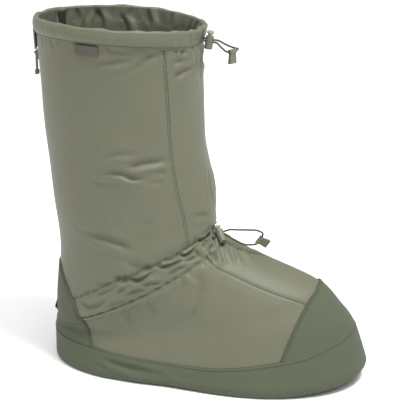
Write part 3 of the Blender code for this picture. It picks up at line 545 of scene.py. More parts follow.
OLIVE = cloth_material("olive_nylon", (0.122, 0.125, 0.082), 0.45, 0.05, 0.52, 0.035, sheen=0.06)
INSIDE = cloth_material("olive_lining", (0.090, 0.092, 0.062), 0.6, 0.06, 0.60, 0.05, sheen=0.06)
DARK = cloth_material("dark_canvas", (0.075, 0.087, 0.055), 0.9, 0.16, 0.86, 0.06, sheen=0.05, twill=True)
SOLE = cloth_material("sole_canvas", (0.062, 0.072, 0.047), 1.2, 0.2, 0.9, 0.08)
CORD = cloth_material("cord_braid", (0.058, 0.063, 0.048), 0.8, 0.25, 0.75, 0.06, twill=True)
WEB = cloth_material("black_webbing", (0.018, 0.019, 0.018), 0.9, 0.25, 0.8, 0.1)
LABEL = cloth_material("label_weave", (0.088, 0.083, 0.070), 0.5, 0.12, 0.82, 0.08)
# The olive thread colour also paints the dark tubes that stand in for shade at seams and overlay edges
THREAD_AND_SHADE = cloth_material("olive_thread_and_shade", (0.046, 0.048, 0.034), 0.3, 0.05, 0.85, 0.1)
THREAD_DARK = cloth_material("dark_thread", (0.034, 0.038, 0.026), 0.3, 0.05, 0.85, 0.1)
PLASTIC = plastic_material("olive_plastic", (0.128, 0.134, 0.090), 0.42)
PALE = plastic_material("pale_plastic", (0.270, 0.280, 0.200), 0.38)


# Mesh helpers

def lengths_along(points, axis):
    steps = np.linalg.norm(np.diff(points, axis=axis), axis=-1)
    zero = np.zeros_like(np.take(steps, [0], axis=axis))
    return np.cumsum(np.concatenate([zero, steps], axis=axis), axis=axis)


def grid_faces(rows, cols, wrap):
    """Faces of a closed run of rows, whose columns may wrap too, and the map places of their corners."""
    row, col = np.meshgrid(np.arange(rows), np.arange(cols if wrap else cols - 1), indexing="ij")
    row = row.ravel()
    col = col.ravel()
    next_row = (row + 1) % rows
    next_col = (col + 1) % cols
    corners = [(row, col), (next_row, col), (next_row, next_col), (row, next_col)]
    map_corners = [(row, col), (row + 1, col), (row + 1, col + 1), (row, col + 1)]
    return np.stack([r * cols + c for r, c in corners], axis=-1), map_corners


def new_item(name, data):
    item = bpy.data.objects.new(name, data)
    bpy.context.scene.collection.objects.link(item)
    return item


def mesh_piece(name, vertices, faces, material, map_points=None):
    mesh = bpy.data.meshes.new(name)
    mesh.from_pydata([tuple(point) for point in vertices], [], [tuple(int(i) for i in face) for face in faces])
    if map_points is not None:
        layer = mesh.uv_layers.new(name="UVMap")
        layer.data.foreach_set("uv", np.asarray(map_points, dtype=np.float32).ravel())
    mesh.shade_smooth()
    mesh.materials.append(material)
    mesh.update()
    item = new_item(name, mesh)
    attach(item, "boot")
    return item


def grid_piece(name, points, material):
    """A closed piece from rings of points, with a map in metres."""
    rows, cols = points.shape[:2]
    faces, corners = grid_faces(rows, cols, True)
    around = np.concatenate([points, points[:, :1]], axis=1)
    closed = np.concatenate([around, around[:1]], axis=0)
    u_map = lengths_along(closed, 1)
    v_map = np.broadcast_to(lengths_along(closed, 0).mean(axis=1, keepdims=True), u_map.shape)
    maps = np.stack([np.stack([u_map[r, c], v_map[r, c]], axis=-1) for r, c in corners], axis=1)
    return mesh_piece(name, points.reshape(-1, 3), faces, material, maps)


def slab_piece(name, top, bottom, material):
    """A closed patch between an upper and a lower sheet."""
    rows, cols = top.shape[:2]
    both = np.concatenate([top, bottom[::-1]], axis=0)
    faces, corners = grid_faces(2 * rows, cols, False)
    closed = np.concatenate([both, both[:1]], axis=0)
    u_map = lengths_along(closed, 1)
    v_map = lengths_along(closed, 0)
    maps = np.stack([np.stack([u_map[r, c], v_map[r, c]], axis=-1) for r, c in corners], axis=1)
    index = np.arange(rows - 1)
    upper = index * cols
    lower = (2 * rows - 1 - index) * cols
    left = np.stack([upper, lower, lower - cols, upper + cols], axis=-1)
    last = cols - 1
    right = np.stack([upper + last, upper + cols + last, lower - cols + last, lower + last], axis=-1)
    faces = np.concatenate([faces, left, right])
    maps = np.concatenate([maps, np.zeros((2 * (rows - 1), 4, 2))])
    return mesh_piece(name, both.reshape(-1, 3), faces, material, maps)


def eased(length, fine=0.0004, spacing=0.0022):
    """Shares from 0 to 1, close together at both ends."""
    edge = np.array([0.0, 1.0, 2.2, 3.8]) * fine / length
    middle = np.linspace(edge[-1], 1.0 - edge[-1], max(3, int(length / spacing)))
    return np.concatenate([edge[:-1], middle, 1.0 - edge[:-1][::-1]])


def rounded(inward, radius):
    """Height of a rounded edge: 0 at the edge, 1 from one radius inwards."""
    reach = np.clip(inward / radius, 0.0, 1.0)
    return np.sqrt(np.clip(1.0 - (1.0 - reach) ** 2, 0.0, 1.0))


def edge_lift(shares, length, radius):
    """The same at both ends of a span."""
    return rounded(np.minimum(shares, 1.0 - shares) * length, radius)


def patch(name, node, u_grid, v_grid, thickness, base=GAP):
    """A dark overlay on the folded cloth with rounded edges all round."""
    plain = plain_surface(u_grid, v_grid)
    across = lengths_along(plain, 1)
    upward = lengths_along(plain, 0)
    width = np.maximum(across[:, -1:], 1e-6)
    height = np.maximum(upward[-1:, :], 1e-6)
    sides = edge_lift(across / width, width, thickness * 0.9)
    ends = edge_lift(upward / height, height, thickness * 0.9)
    flat = folds(u_grid, v_grid)
    top = sheet(u_grid, v_grid, flat + base + thickness * np.minimum(sides, ends))
    bottom = sheet(u_grid, v_grid, flat + base * 0.5)
    piece = slab_piece(name, top, bottom, DARK)
    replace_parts(piece, node)


def ring_points(centre, first, second, sides=6):
    """A ring of points that turns from a first to a second direction, as long as its radius."""
    angles = np.arange(sides)[:, None] * 2.0 * math.pi / sides
    return centre + first * np.cos(angles) + second * np.sin(angles)


def add_rings(vertices, faces, rings):
    """Adds one closed solid, given as rings of points from end to end."""
    sides = len(rings[0])
    start = len(vertices)
    for ring in rings:
        vertices.extend(ring)
    last = len(vertices) - sides
    for low in range(start, last, sides):
        for index in range(sides):
            after = (index + 1) % sides
            faces.append((low + index, low + after, low + sides + after, low + sides + index))
    faces.append(tuple(reversed(range(start, start + sides))))
    faces.append(tuple(range(last, last + sides)))


def at_length(values, travel, place):
    return np.array([np.interp(place, travel, values[:, axis]) for axis in range(3)])


# Rings of a stitch: share along its half length, share of its radius
STITCH_RINGS = ((-1.0, 0.02), (-0.92, 0.55), (-0.6, 0.92), (0.0, 1.0), (0.6, 0.92), (0.92, 0.55), (1.0, 0.02))
STITCH_ARCH = 0.9
STITCH_SINK = 0.3
STITCH_FLATNESS = 0.8


def stitches(name, lines, material, length, gap, radius):
    """Rows of short stitches that follow lines of points with normals, in millimetres."""
    vertices = []
    faces = []
    half = length * MM / 2.0
    pitch = (length + gap) * MM
    for points, normals in lines:
        travel = lengths_along(points, 0)
        for middle in np.arange(pitch / 2.0, travel[-1] - length * MM * 0.4, pitch):
            first = at_length(points, travel, middle - half)
            last = at_length(points, travel, middle + half)
            normal = unit(at_length(normals, travel, middle))
            run = unit(last - first)
            across = unit(np.cross(run, normal))
            rings = []
            for share, swell in STITCH_RINGS:
                rise = radius * MM * ((1.0 - share * share) * STITCH_ARCH - STITCH_SINK)
                centre = (first + last) / 2.0 + run * share * half + normal * rise
                size = swell * radius * MM
                rings.append(ring_points(centre, across * size, normal * STITCH_FLATNESS * size))
            add_rings(vertices, faces, rings)
    mesh_piece(name, vertices, faces, material)


def sideways(points, normals):
    """Directions across a line of points, in the surface."""
    return unit(np.cross(unit(np.gradient(points, axis=0)), normals))


def tube(name, lines, radius, material):
    """Thin tubes along lines of points."""
    vertices = []
    faces = []
    for points, normals in lines:
        places = zip(points, sideways(points, normals) * radius, normals * radius)
        add_rings(vertices, faces, [ring_points(*place) for place in places])
    mesh_piece(name, vertices, faces, material)


def cloth_line(line, lift, aside=0.0, spacing=0.0012):
    """Points and normals along a (u, v) line on the folded cloth, moved aside in its surface."""
    travel = lengths_along(plain_surface(line[:, 0], line[:, 1]), 0)
    at = np.linspace(0.0, travel[-1], max(4, int(travel[-1] / spacing)))
    u = np.interp(at, travel, line[:, 0])
    v = np.interp(at, travel, line[:, 1])
    points = cloth(u, v, lift)
    normals = outward(u, v)
    if aside:
        points = points + sideways(points, normals) * aside
    return points, normals


# Camera, light and floor

WORLD_LIGHT = 0.46
LIGHT_AIM = Vector((0.08, 0.0, 0.18))
# Name, place, size and power of each lamp
LAMPS = (("key", (0.9, -0.5, 2.3), 0.6, 44.0), ("edge", (-1.6, -0.2, 1.1), 0.5, 5.0))
SKY_POWER = 2.1
SKY_WIDTH = 60.0
SKY_FROM = Vector((0.15, -0.30, 1.0))
FLOOR_REACH = 14.0
FLOOR_TONE = 0.93


def facing(direction):
    return direction.to_track_quat("-Z", "Y")


def add_camera():
    data = bpy.data.cameras.new("camera")
    data.lens = CAMERA_LENS
    data.sensor_width = 36.0
    data.clip_start = 0.01
    camera = new_item("camera", data)
    turn = math.radians(CAMERA_TURN)
    rise = math.radians(CAMERA_RISE)
    away = Vector((math.sin(turn) * math.cos(rise), -math.cos(turn) * math.cos(rise), math.sin(rise)))
    camera.location = Vector(CAMERA_AIM) + away * CAMERA_DISTANCE
    roll = Matrix.Rotation(math.radians(CAMERA_ROLL), 4, "Z")
    camera.rotation_euler = (facing(-away).to_matrix().to_4x4() @ roll).to_euler()
    bpy.context.scene.camera = camera


def add_lights():
    scene = bpy.context.scene
    scene.view_settings.view_transform = "Standard"
    scene.view_settings.look = "None"
    world = bpy.data.worlds.new("studio")
    scene.world = world
    world.use_nodes = True
    background = world.node_tree.nodes["Background"]
    background.inputs["Color"].default_value = (1.0, 1.0, 1.0, 1.0)
    background.inputs["Strength"].default_value = WORLD_LIGHT
    for name, location, size, power in LAMPS:
        data = bpy.data.lights.new(name, "AREA")
        data.shape = "DISK"
        data.size = size
        data.energy = power
        lamp = new_item(name, data)
        lamp.location = location
        lamp.rotation_euler = facing(LIGHT_AIM - Vector(location)).to_euler()
    data = bpy.data.lights.new("sky", "SUN")
    data.energy = SKY_POWER
    data.angle = math.radians(SKY_WIDTH)
    new_item("sky", data).rotation_euler = facing(-SKY_FROM).to_euler()


def add_floor():
    data = bpy.data.meshes.new("floor")
    corners = [(x * FLOOR_REACH, y * FLOOR_REACH, 0.0) for x, y in ((-1, -1), (1, -1), (1, 1), (-1, 1))]
    data.from_pydata(corners, [], [(0, 1, 2, 3)])
    material, _, shader = new_material("pale_floor")
    shader.inputs["Base Color"].default_value = (FLOOR_TONE, FLOOR_TONE, FLOOR_TONE, 1.0)
    shader.inputs["Roughness"].default_value = 0.9
    shader.inputs["Specular IOR Level"].default_value = 0.1
    data.materials.append(material)
    new_item("floor", data)


add_camera()
add_lights()
add_floor()


# Drawcords, on the same route points as the solids

def seated(point):
    return Vector((point[0] - HEEL_REST, point[1], point[2]))


def lock_frame(base, top, aim):
    base = seated(base)
    axis = (seated(top) - base).normalized()
    cord = Vector(aim)
    cord = (cord - axis * cord.dot(axis)).normalized()
    out = Matrix((cord, axis.cross(cord), axis)).transposed().to_4x4()
    out.translation = base
    return out


def clip_frame(middle, bar, down):
    bar_axis = Vector(bar).normalized()
    fall = Vector(down)
    fall = (fall - bar_axis * fall.dot(bar_axis)).normalized()
    out = Matrix((bar_axis.cross(-fall), bar_axis, -fall)).transposed().to_4x4()
    out.translation = seated(middle)
    return out


LOCK_HEIGHT = 0.0134
LOCK_DIAMETER = 0.0084
LANE_DROP = 0.0046
LANE_SPACING = 0.0024
CLIP_BAR_LENGTH = 0.0094
HEM_CLOTH = 0.001
DRAWCORDS = {
    "collar": {
        "lock": ((0.1720, -0.0050, 0.3518), (0.1748, -0.0050, 0.3706), (1.0, 0.0, 0.0)),
        "clip": ((0.1980, -0.0080, 0.3510), (0.50, 0.86, 0.05), (-0.10, -0.05, -1.0)),
        "exits": ((1.0, 361.8), (6.5, 359.6)),
        "lift": HEM_CLOTH + 3.0 * GAP + CORD_DIAMETER / 2.0,
        "high": ((0.1830, -0.0045, 0.3604), (0.1900, -0.0025, 0.3564), (0.1965, 0.0002, 0.3534),
                 (0.2018, 0.0008, 0.3520)),
        "low": ((0.1915, -0.0130, 0.3520), (0.1860, -0.0095, 0.3552), (0.1815, -0.0062, 0.3582)),
    },
    "ankle": {
        "lock": ((0.1913, -0.0140, 0.1493), (0.1836, -0.0065, 0.1613), (0.80, 0.345, 0.495)),
        "clip": ((0.2272, 0.0000, 0.1494), (0.575, 0.106, 0.811), (0.60, 0.62, -0.51)),
        "exits": ((5.0, 153.5), (13.0, 152.0)),
        "lift": 2.0 * GAP + CORD_DIAMETER / 2.0,
        "high": ((0.1970, -0.0065, 0.1606), (0.2043, -0.0050, 0.1605), (0.2155, -0.0025, 0.1604),
                 (0.2245, -0.0005, 0.1600), (0.2303, 0.0005, 0.1574)),
        "low": ((0.2190, -0.0025, 0.1442), (0.2129, -0.0050, 0.1449), (0.2047, -0.0070, 0.1482),
                (0.1966, -0.0085, 0.1534)),
    },
}


def route_points(plan):
    lock = lock_frame(*plan["lock"])
    clip = clip_frame(*plan["clip"])
    lane = LOCK_HEIGHT - LANE_DROP
    mouth = LOCK_DIAMETER / 2.0 + GAP
    lead = (-mouth, -0.8 * mouth, 0.0, 0.8 * mouth, mouth)
    bar = CLIP_BAR_LENGTH / 2.0
    ends = (1.25 * bar, bar, 0.0, -bar, -1.25 * bar)
    exits = []
    for degrees, height in plan["exits"]:
        u = np.array([math.radians(degrees)])
        v = np.array([row_at(degrees, height)])
        exits.append(Vector((plain_surface(u, v) + outward(u, v) * plan["lift"])[0]))
    route = [exits[0]]
    route += [lock @ Vector((x, 0.0, lane + LANE_SPACING / 2.0)) for x in lead]
    route += [seated(point) for point in plan["high"]]
    route += [clip @ Vector((0.0, y, 0.0)) for y in ends]
    route += [seated(point) for point in plan["low"]]
    route += [lock @ Vector((x, 0.0, lane - LANE_SPACING / 2.0)) for x in reversed(lead)]
    return route + [exits[1]]


def smooth_route(points, spacing):
    route = [np.array(point, dtype=float) for point in points]
    route = [2.0 * route[0] - route[1]] + route + [2.0 * route[-1] - route[-2]]
    line = []
    for first, second, third, fourth in zip(route[:-3], route[1:-2], route[2:-1], route[3:]):
        count = max(1, round(float(np.linalg.norm(third - second)) / spacing))
        for step in range(count):
            t = step / count
            line.append(0.5 * (2.0 * second + (third - first) * t
                               + (2.0 * first - 5.0 * second + 4.0 * third - fourth) * t ** 2
                               + (3.0 * second - first - 3.0 * third + fourth) * t ** 3))
    line.append(route[-2])
    return np.array(line)


def add_drawcord(name):
    line = smooth_route(route_points(DRAWCORDS[name]), 0.0012)
    curve = bpy.data.curves.new(name + "_drawcord", "CURVE")
    curve.dimensions = "3D"
    curve.bevel_depth = CORD_DIAMETER / 2.0
    curve.bevel_resolution = 4
    curve.use_fill_caps = True
    spline = curve.splines.new("POLY")
    spline.points.add(len(line) - 1)
    for slot, point in zip(spline.points, line):
        slot.co = (*point, 1.0)
    curve.materials.append(CORD)
    item = new_item(name + "_drawcord", curve)
    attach(item, "boot")
    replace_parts(item, name + "_cord")


for cord_name in DRAWCORDS:
    add_drawcord(cord_name)


# Upper: one shell with folds outside and gathers inside

def span(*pieces):
    rows = [np.linspace(start, end, count, endpoint=False) for start, end, count in pieces]
    return np.concatenate(rows + [[pieces[-1][1]]])


INNER_FOLDS = [(-152, 1.6, 3.6), (-137, 2.4, 3.4), (-126, 1.4, 4.0), (-117, 2.9, 4.0), (-97, 2.6, 4.2),
               (-80, 2.8, 3.8), (-62, 2.2, 3.6), (-44, 2.2, 3.0), (-33, 1.8, 2.8), (-20, 2.0, 2.6),
               (-8, 2.0, 2.4), (9, 2.0, 2.4), (22, 1.8, 2.8), (40, 1.6, 3.4), (66, 1.8, 4.0), (90, 2.2, 4.4),
               (118, 1.8, 4.2), (140, 1.8, 3.8), (165, 1.2, 3.6)]


MM_PER_DEGREE = 1.25
AROUND = 340


def gather(off_mm, width, spacing, ridge):
    """A valley with a lower ridge on each side, over the distance from its middle."""
    return bell(off_mm, 0.0, width) - ridge * bell(np.abs(off_mm), spacing * width, width)


def inner_gathers(u, v):
    """Vertical gathers on the inside under the collar."""
    height = 0.0
    for turn, depth, width in INNER_FOLDS:
        off = degrees_of(u) - turn - 3.0 * np.sin(v * 46.0 + turn)
        off = (off + 180.0) % 360.0 - 180.0
        height = height + depth * MM * gather(off * MM_PER_DEGREE, width, 1.8, 0.5)
    return height * np.clip((v - 0.80) / 0.12, 0.0, 1.0)


def below_hem(v):
    """1 on the rows that the hem doesn't cover, 0 on those behind it."""
    return np.clip((HEM_ROW + 0.01 - v) / 0.01, 0.0, 1.0)


def line_inside(piece, first_face):
    """The faces from one number on show the lining."""
    piece.data.materials.append(INSIDE)
    index = np.zeros(len(piece.data.polygons), dtype=np.int32)
    index[first_face:] = 1
    piece.data.polygons.foreach_set("material_index", index)
    piece.data.update()


def build_upper():
    u = full_turn(AROUND)
    outer = span((0.006, 0.12, 8), (0.12, 0.40, 34), (0.40, 0.55, 34), (0.55, 0.69, 58), (0.69, 0.785, 22),
                 (0.785, 0.86, 40), (0.86, 0.905, 12), (0.905, 0.965, 30), (0.965, 0.985, 2))[:, None]
    inner = span((0.985, 0.90, 24), (0.90, 0.66, 14), (0.66, 0.006, 10))[:, None]
    # The lining keeps clear of the deepest folds
    spare = 0.0013 * below_hem(inner) + 0.0012 * np.clip((0.91 - inner) / 0.02, 0.0, 1.0)
    depth = depth_of_folds(u, inner) * below_hem(inner)
    inward = UPPER_WALL + spare + depth + np.clip(inner_gathers(u, inner), -0.0004, None)
    points = np.concatenate([cloth(u, outer), sheet(u, inner, -inward)])
    piece = grid_piece("upper_shell", points, OLIVE)
    line_inside(piece, len(outer) * AROUND)
    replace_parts(piece, "upper")


HEM_TOP = 0.998
HEM_SPREAD = 34.0


def build_hem():
    """The folded hem over the collar, puffed by the cord inside it."""
    u = full_turn(AROUND)
    degrees = degrees_of(u)
    out_v = np.linspace(HEM_ROW, HEM_TOP, 18)[:, None]
    share = (out_v - HEM_ROW) / (1.0 - HEM_ROW)
    near = bell(degrees, 0.0, HEM_SPREAD)
    chance = np.random.RandomState(21)
    gathers = 0.0
    turn = -178.0
    while turn < 178.0:
        close = bell(turn, 0.0, HEM_SPREAD)
        width = chance.uniform(2.0, 3.4) * (1.0 - 0.3 * close)
        depth = chance.uniform(0.15, 0.45) + 0.75 * close
        off = degrees - turn - chance.uniform(-6.0, 6.0) * share
        gathers = gathers - depth * gather(off * MM_PER_DEGREE, width, 1.7, 0.4)
        turn += chance.uniform(8.0, 17.0) * (1.0 - 0.5 * close)
    swell = np.sin(np.pi * np.clip((share - 0.16) / 0.84, 0.0, 1.0))
    puff = 1.7 * swell ** 0.8 * (1.0 - 0.35 * near)
    out_lift = 0.0015 + (puff + gathers * (0.25 + 0.95 * swell)) * MM
    out_lift[0] = 0.0004
    out_lift[1] = 0.0011
    out_rows = sheet(u, out_v, out_lift)
    in_v = np.linspace(HEM_TOP, 0.912, 22)[:, None]
    depth = depth_of_folds(u, in_v) * below_hem(in_v)
    in_lift = UPPER_WALL + 0.0016 + depth + np.clip(inner_gathers(u, in_v), -0.0008, None)
    in_lift[-1] -= 0.0012
    in_rows = sheet(u, in_v, -in_lift)
    climb = unit(plain_surface(u, 1.0) - plain_surface(u, 0.99))
    wave = 0.6 * np.sin(u * 9.0 + 2.0 * np.sin(u * 4.0)) + 0.4 * np.sin(u * 23.0) * (0.4 + near)
    middle = (out_rows[-1] + in_rows[0]) / 2.0
    half = (out_rows[-1] - in_rows[0]) / 2.0
    crown = [middle + half * math.cos(angle) + climb * ((2.2 + wave) * MM * math.sin(angle))[:, None]
             for angle in np.radians([25.0, 50.0, 75.0, 90.0, 105.0, 130.0, 155.0])]
    # The band closes inside the wall, behind the folds
    wall_v = np.linspace(0.913, 0.958, 9)[:, None]
    wall_rows = sheet(u, wall_v, -0.0014 - depth_of_folds(u, wall_v))
    points = np.concatenate([out_rows, np.array(crown), in_rows, wall_rows])
    piece = grid_piece("hem_band", points, OLIVE)
    line_inside(piece, (len(out_rows) + len(crown)) * AROUND)
    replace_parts(piece, "collar_hem")


RAND_COLUMNS = 360
RAND_START = 0.012
RAND_EDGE = 0.0011


def rand_row(u):
    return smooth_table(RAND_TOP, np.abs(degrees_of(u)))[..., 0]


def rand_strokes():
    """The folds of the rand on both sides."""
    strokes = []
    for points, width, depth, lip in RAND_FOLDS:
        for side in (1.0, -1.0):
            line = side_line(points, side)
            strokes.append((plain_surface(line[:, 0], line[:, 1]), width * MM, depth * MM, lip * int(side)))
    return strokes


def build_rand():
    """The dark band from the edge of the sole up to its own top row."""
    u = full_turn(RAND_COLUMNS)
    edge_rows = np.array([sole_edge(u, height) for height in (0.30, 0.42, 0.55, 0.68, 0.8, 0.92)])
    shares = np.concatenate([np.linspace(0.0, 0.9, 15), [0.94, 0.97, 0.985, 1.0]])
    v_rows = RAND_START + (rand_row(u) - RAND_START) * shares[:, None]
    base = np.concatenate([edge_rows, plain_surface(u, v_rows)])
    around = np.roll(base, -1, axis=1) - np.roll(base, 1, axis=1)
    normals = unit(np.cross(np.gradient(base, axis=0), around))
    flat = np.zeros(base.shape[:2])
    flat[len(edge_rows):] = folds(u, v_rows)
    travel = lengths_along(base, 0)
    lift = GAP + OVERLAY * rounded(np.minimum(travel, travel[-1] - travel), RAND_EDGE)
    fold = stroke_relief(base.reshape(-1, 3), normals.reshape(-1, 3), rand_strokes()).reshape(flat.shape)
    outer = base + normals * (flat + lift + np.clip(fold, -0.0009, None))[..., None]
    inner = base + normals * (flat + GAP * 0.4)[..., None]
    piece = grid_piece("rand_band", np.concatenate([outer, inner[::-1]]), DARK)
    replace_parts(piece, "rand")


# Toe cap and heel counter: each column runs from behind the rand up to the seam
TOE_SEAM = 0.775 * FOOT_LENGTH
TOE_LEAN = 0.236
TOE_SWEEP = 0.26
TOE_FLAT = 0.08 * BALL_WIDTH
TOE_LIMIT = 0.47
TOE_REACH = math.radians(80.0)
BEHIND_RAND = 0.006
# Upper edge of the heel counter: degrees from the toe, height in mm
COUNTER_EDGE = ((124, 63), (126, 73), (129, 81), (137, 92), (145, 103), (154, 114), (164, 115.5), (180, 116))
COUNTER_FOOT = 130.0


def toe_row(u):
    """The row where a column of the toe cap meets its seam, or the rand's row where it never does."""
    levels = np.linspace(0.10, TOE_LIMIT, 500)
    points = plain_surface(u, levels)
    sweep = TOE_SWEEP * np.clip(np.abs(points[:, 1]) - TOE_FLAT, 0.0, None)
    inside = points[:, 0] + HEEL_REST > TOE_SEAM + TOE_LEAN * points[:, 2] - sweep
    start = float(rand_row(u))
    outside = np.flatnonzero(~inside & (levels > start))
    if len(outside) == 0:
        return TOE_LIMIT
    return float(max(levels[outside[0]], start))


def build_toe_cap():
    """The toe cap, only where it is higher than the rand."""
    u = np.linspace(-TOE_REACH, TOE_REACH, 721)
    rows = np.array([toe_row(one) for one in u])
    good = u[rows - rand_row(u) > 0.004]
    columns = np.linspace(good[0], good[-1], 150)
    top = np.interp(columns, u, rows)
    low = rand_row(columns) - BEHIND_RAND
    v_grid = low + (top - low) * eased(0.06, 0.0005, 0.0020)[:, None]
    u_grid = np.broadcast_to(columns, v_grid.shape)
    patch("toe_cap_panel", "toe_cap", u_grid, v_grid, OVERLAY - 0.0002)
    return np.column_stack([columns, top])


def build_counter():
    """The heel counter: its columns lean, wider above the rand than at it."""
    turns = np.array([turn for turn, _ in COUNTER_EDGE], dtype=float)
    rows = np.array([row_at(turn, height) for turn, height in COUNTER_EDGE])
    columns = np.linspace(turns[0], 360.0 - turns[0], 190)
    top = np.interp(180.0 - np.abs(columns - 180.0), turns, rows)
    shares = eased(0.08, 0.0005, 0.0013)
    foot_row = float(rand_row(math.radians(COUNTER_FOOT))) - BEHIND_RAND
    ends = plain_surface(np.radians([COUNTER_FOOT, turns[0]]), np.array([foot_row, rows[0]]))
    edge = []
    for row in foot_row + (rows[0] - foot_row) * shares:
        trial = np.radians(np.linspace(105.0, 150.0, 200))
        places = plain_surface(trial, row)
        rise = (places[:, 2] - ends[0, 2]) / (ends[1, 2] - ends[0, 2])
        ahead = places[:, 0] - (ends[0, 0] + (ends[1, 0] - ends[0, 0]) * rise)
        edge.append(math.degrees(float(np.interp(0.0, -ahead, trial))))
    narrow = (180.0 - np.array(edge)) / (180.0 - turns[0])
    u_grid = np.radians(180.0 + (columns[None, :] - 180.0) * narrow[:, None])
    low = rand_row(u_grid[0]) - BEHIND_RAND
    v_grid = low[None, :] + (top - low)[None, :] * shares[:, None]
    patch("heel_counter_panel", "heel_counter", u_grid, v_grid, OVERLAY, 0.0005)
    first = np.column_stack([u_grid[:, 0], v_grid[:, 0]])
    last = np.column_stack([u_grid[::-1, -1], v_grid[::-1, -1]])
    return np.concatenate([first, np.column_stack([u_grid[-1, 1:-1], v_grid[-1, 1:-1]]), last])


build_upper()
build_hem()
build_rand()
toe_line = build_toe_cap()
counter_line = build_counter()


# Sole and footbed

def disc_rows(edge, shares, level):
    """Rows of a face over the whole sole, at shares of the way from its middle to its edge."""
    middle = np.array([0.5 * FOOT_LENGTH - HEEL_REST, 0.0, 0.0])
    rows = middle + (edge - middle) * np.asarray(shares)[:, None, None]
    rows[..., 2] = underside(rows[..., 0] + HEEL_REST) + level
    return rows


def build_sole():
    u = full_turn(240)
    inset = 0.0006
    lower = sole_edge(u, 0.0)
    side = np.array([sole_edge(u, height) for height in np.linspace(0.0, 1.0, 10)])
    side[..., 2] = np.maximum(side[..., 2], underside(side[..., 0] + HEEL_REST) + inset * 0.5)
    under = disc_rows(lower, np.linspace(0.004, 0.985, 60), inset)
    above = disc_rows(side[-1], np.linspace(0.985, 0.004, 20), SOLE_THICKNESS - GAP)
    piece = grid_piece("sole_plate", np.concatenate([under, side, above]), SOLE)
    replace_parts(piece, "outsole")
    return lower


STUD_PITCH = 0.0085
STUD_RADIUS = 0.0021
STUD_SIDES = 8
STUD_AREA = 0.93
# Rings of a stud from the ground up: share of its radius, level
STUD_RINGS = ((0.62, 0.0), (0.92, 0.0003), (1.0, 0.0010))


def build_studs(edge):
    """Small round grip studs under the sole, on a staggered grid."""
    centre = edge[:, :2].mean(axis=0)
    outline = centre + (edge[:, :2] - centre) * STUD_AREA
    ahead = np.roll(outline, -1, axis=0)
    climb = np.where(ahead[:, 1] == outline[:, 1], 1e-9, ahead[:, 1] - outline[:, 1])
    vertices = []
    faces = []
    row = 0
    y = -0.075
    while y < 0.085:
        crosses = (outline[:, 1] > y) != (ahead[:, 1] > y)
        at = outline[:, 0] + (y - outline[:, 1]) / climb * (ahead[:, 0] - outline[:, 0])
        x = -0.055 + (STUD_PITCH / 2.0 if row % 2 else 0.0)
        while x < 0.29:
            if np.count_nonzero(crosses & (x < at)) % 2:
                foot = np.array([x, y, float(underside(np.array(x + HEEL_REST)))])
                arms = np.eye(3) * STUD_RADIUS
                add_rings(vertices, faces, [ring_points(foot + [0.0, 0.0, level], arms[0] * share,
                                                        arms[1] * share, STUD_SIDES)
                                            for share, level in STUD_RINGS])
            x += STUD_PITCH
        y += STUD_PITCH * 0.87
        row += 1
    mesh_piece("sole_studs", vertices, faces, SOLE)


def build_footbed():
    """The quilted footbed, with its edge tucked down."""
    u = full_turn(200)
    edge = sole_edge(u, 1.0) - outline_normal(u) * 0.0046
    shares = np.concatenate([np.linspace(0.004, 0.96, 60), [0.975, 0.988, 1.0]])
    upper = disc_rows(edge, shares, SOLE_THICKNESS + INSOLE_THICKNESS)
    x = upper[..., 0]
    y = upper[..., 1]
    quilt = np.sin((x + y) * 330.0) * np.sin((x - y) * 330.0)
    upper[..., 2] += 0.00035 * (np.abs(quilt) ** 0.5 - 1.0)
    upper[-1, :, 2] -= 0.0012
    lower = disc_rows(edge, [1.0, 0.6, 0.2, 0.004], SOLE_THICKNESS)
    piece = grid_piece("footbed", np.concatenate([lower, upper]), INSIDE)
    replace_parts(piece, "insole")


build_studs(build_sole())
build_footbed()


# Seams and stitches, and dark tubes painted as shade along seams and edges

def channel_line(upper, reach):
    """A stitch row of the channel, as far as one angle on both sides of the toe."""
    degrees = np.linspace(-reach, reach, 160)
    return np.column_stack([np.radians(degrees), channel_rows(degrees)[1 if upper else 0]])


def hem_stitch_line():
    u = np.linspace(-math.pi, math.pi, 420)
    v = HEM_ROW + 0.0055
    return plain_surface(u, v) + outward(u, v) * 0.0017, outward(u, v)


fine_lines = [cloth_line(channel_line(True, 131.0), 0.1 * MM), cloth_line(channel_line(False, 127.0), 0.1 * MM)]
fine_lines += [cloth_line(SEAM_LINES[seam], 0.1 * MM, 1.2 * MM) for seam in ("vamp_outer", "vamp_inner")]
fine_lines += [cloth_line(channel_line(aside > 0.0, 130.0), 0.2 * MM, aside * MM) for aside in (1.6, -1.6)]
stitches("stitches_fine", fine_lines, THREAD_AND_SHADE, 2.0, 0.9, 0.26)
stitches("stitches_hem", [hem_stitch_line()], THREAD_AND_SHADE, 2.2, 1.1, 0.30)

side_lines = [cloth_line(SEAM_LINES[seam], 0.35 * MM, aside * MM)
              for seam in ("side_outer", "side_inner") for aside in (-1.3, 1.3)]
stitches("stitches_side", side_lines, THREAD_AND_SHADE, 2.8, 1.0, 0.30)

# Two rows inside the edge of each cap
cap_lines = []
for line, middle in ((toe_line, 0.0), (counter_line, math.pi)):
    points, normals = cloth_line(line, OVERLAY + 0.3 * MM)
    aside = sideways(points, normals)
    centre = plain_surface(middle, 0.2)
    inside = np.einsum("ij,ij->i", aside, centre - points)[:, None]
    for inset in (1.3, 3.2):
        cap_lines.append((points + np.where(inside > 0.0, aside, -aside) * inset * MM, normals))
stitches("stitches_caps", cap_lines, THREAD_DARK, 2.4, 1.0, 0.28)

rand_u = full_turn(RAND_COLUMNS)
top_line = np.column_stack([rand_u, rand_row(rand_u)])
rand_line = cloth_line(top_line - [0.0, 0.012], OVERLAY + 0.4 * MM)
stitches("stitches_rand", [rand_line], THREAD_DARK, 2.4, 1.1, 0.28)
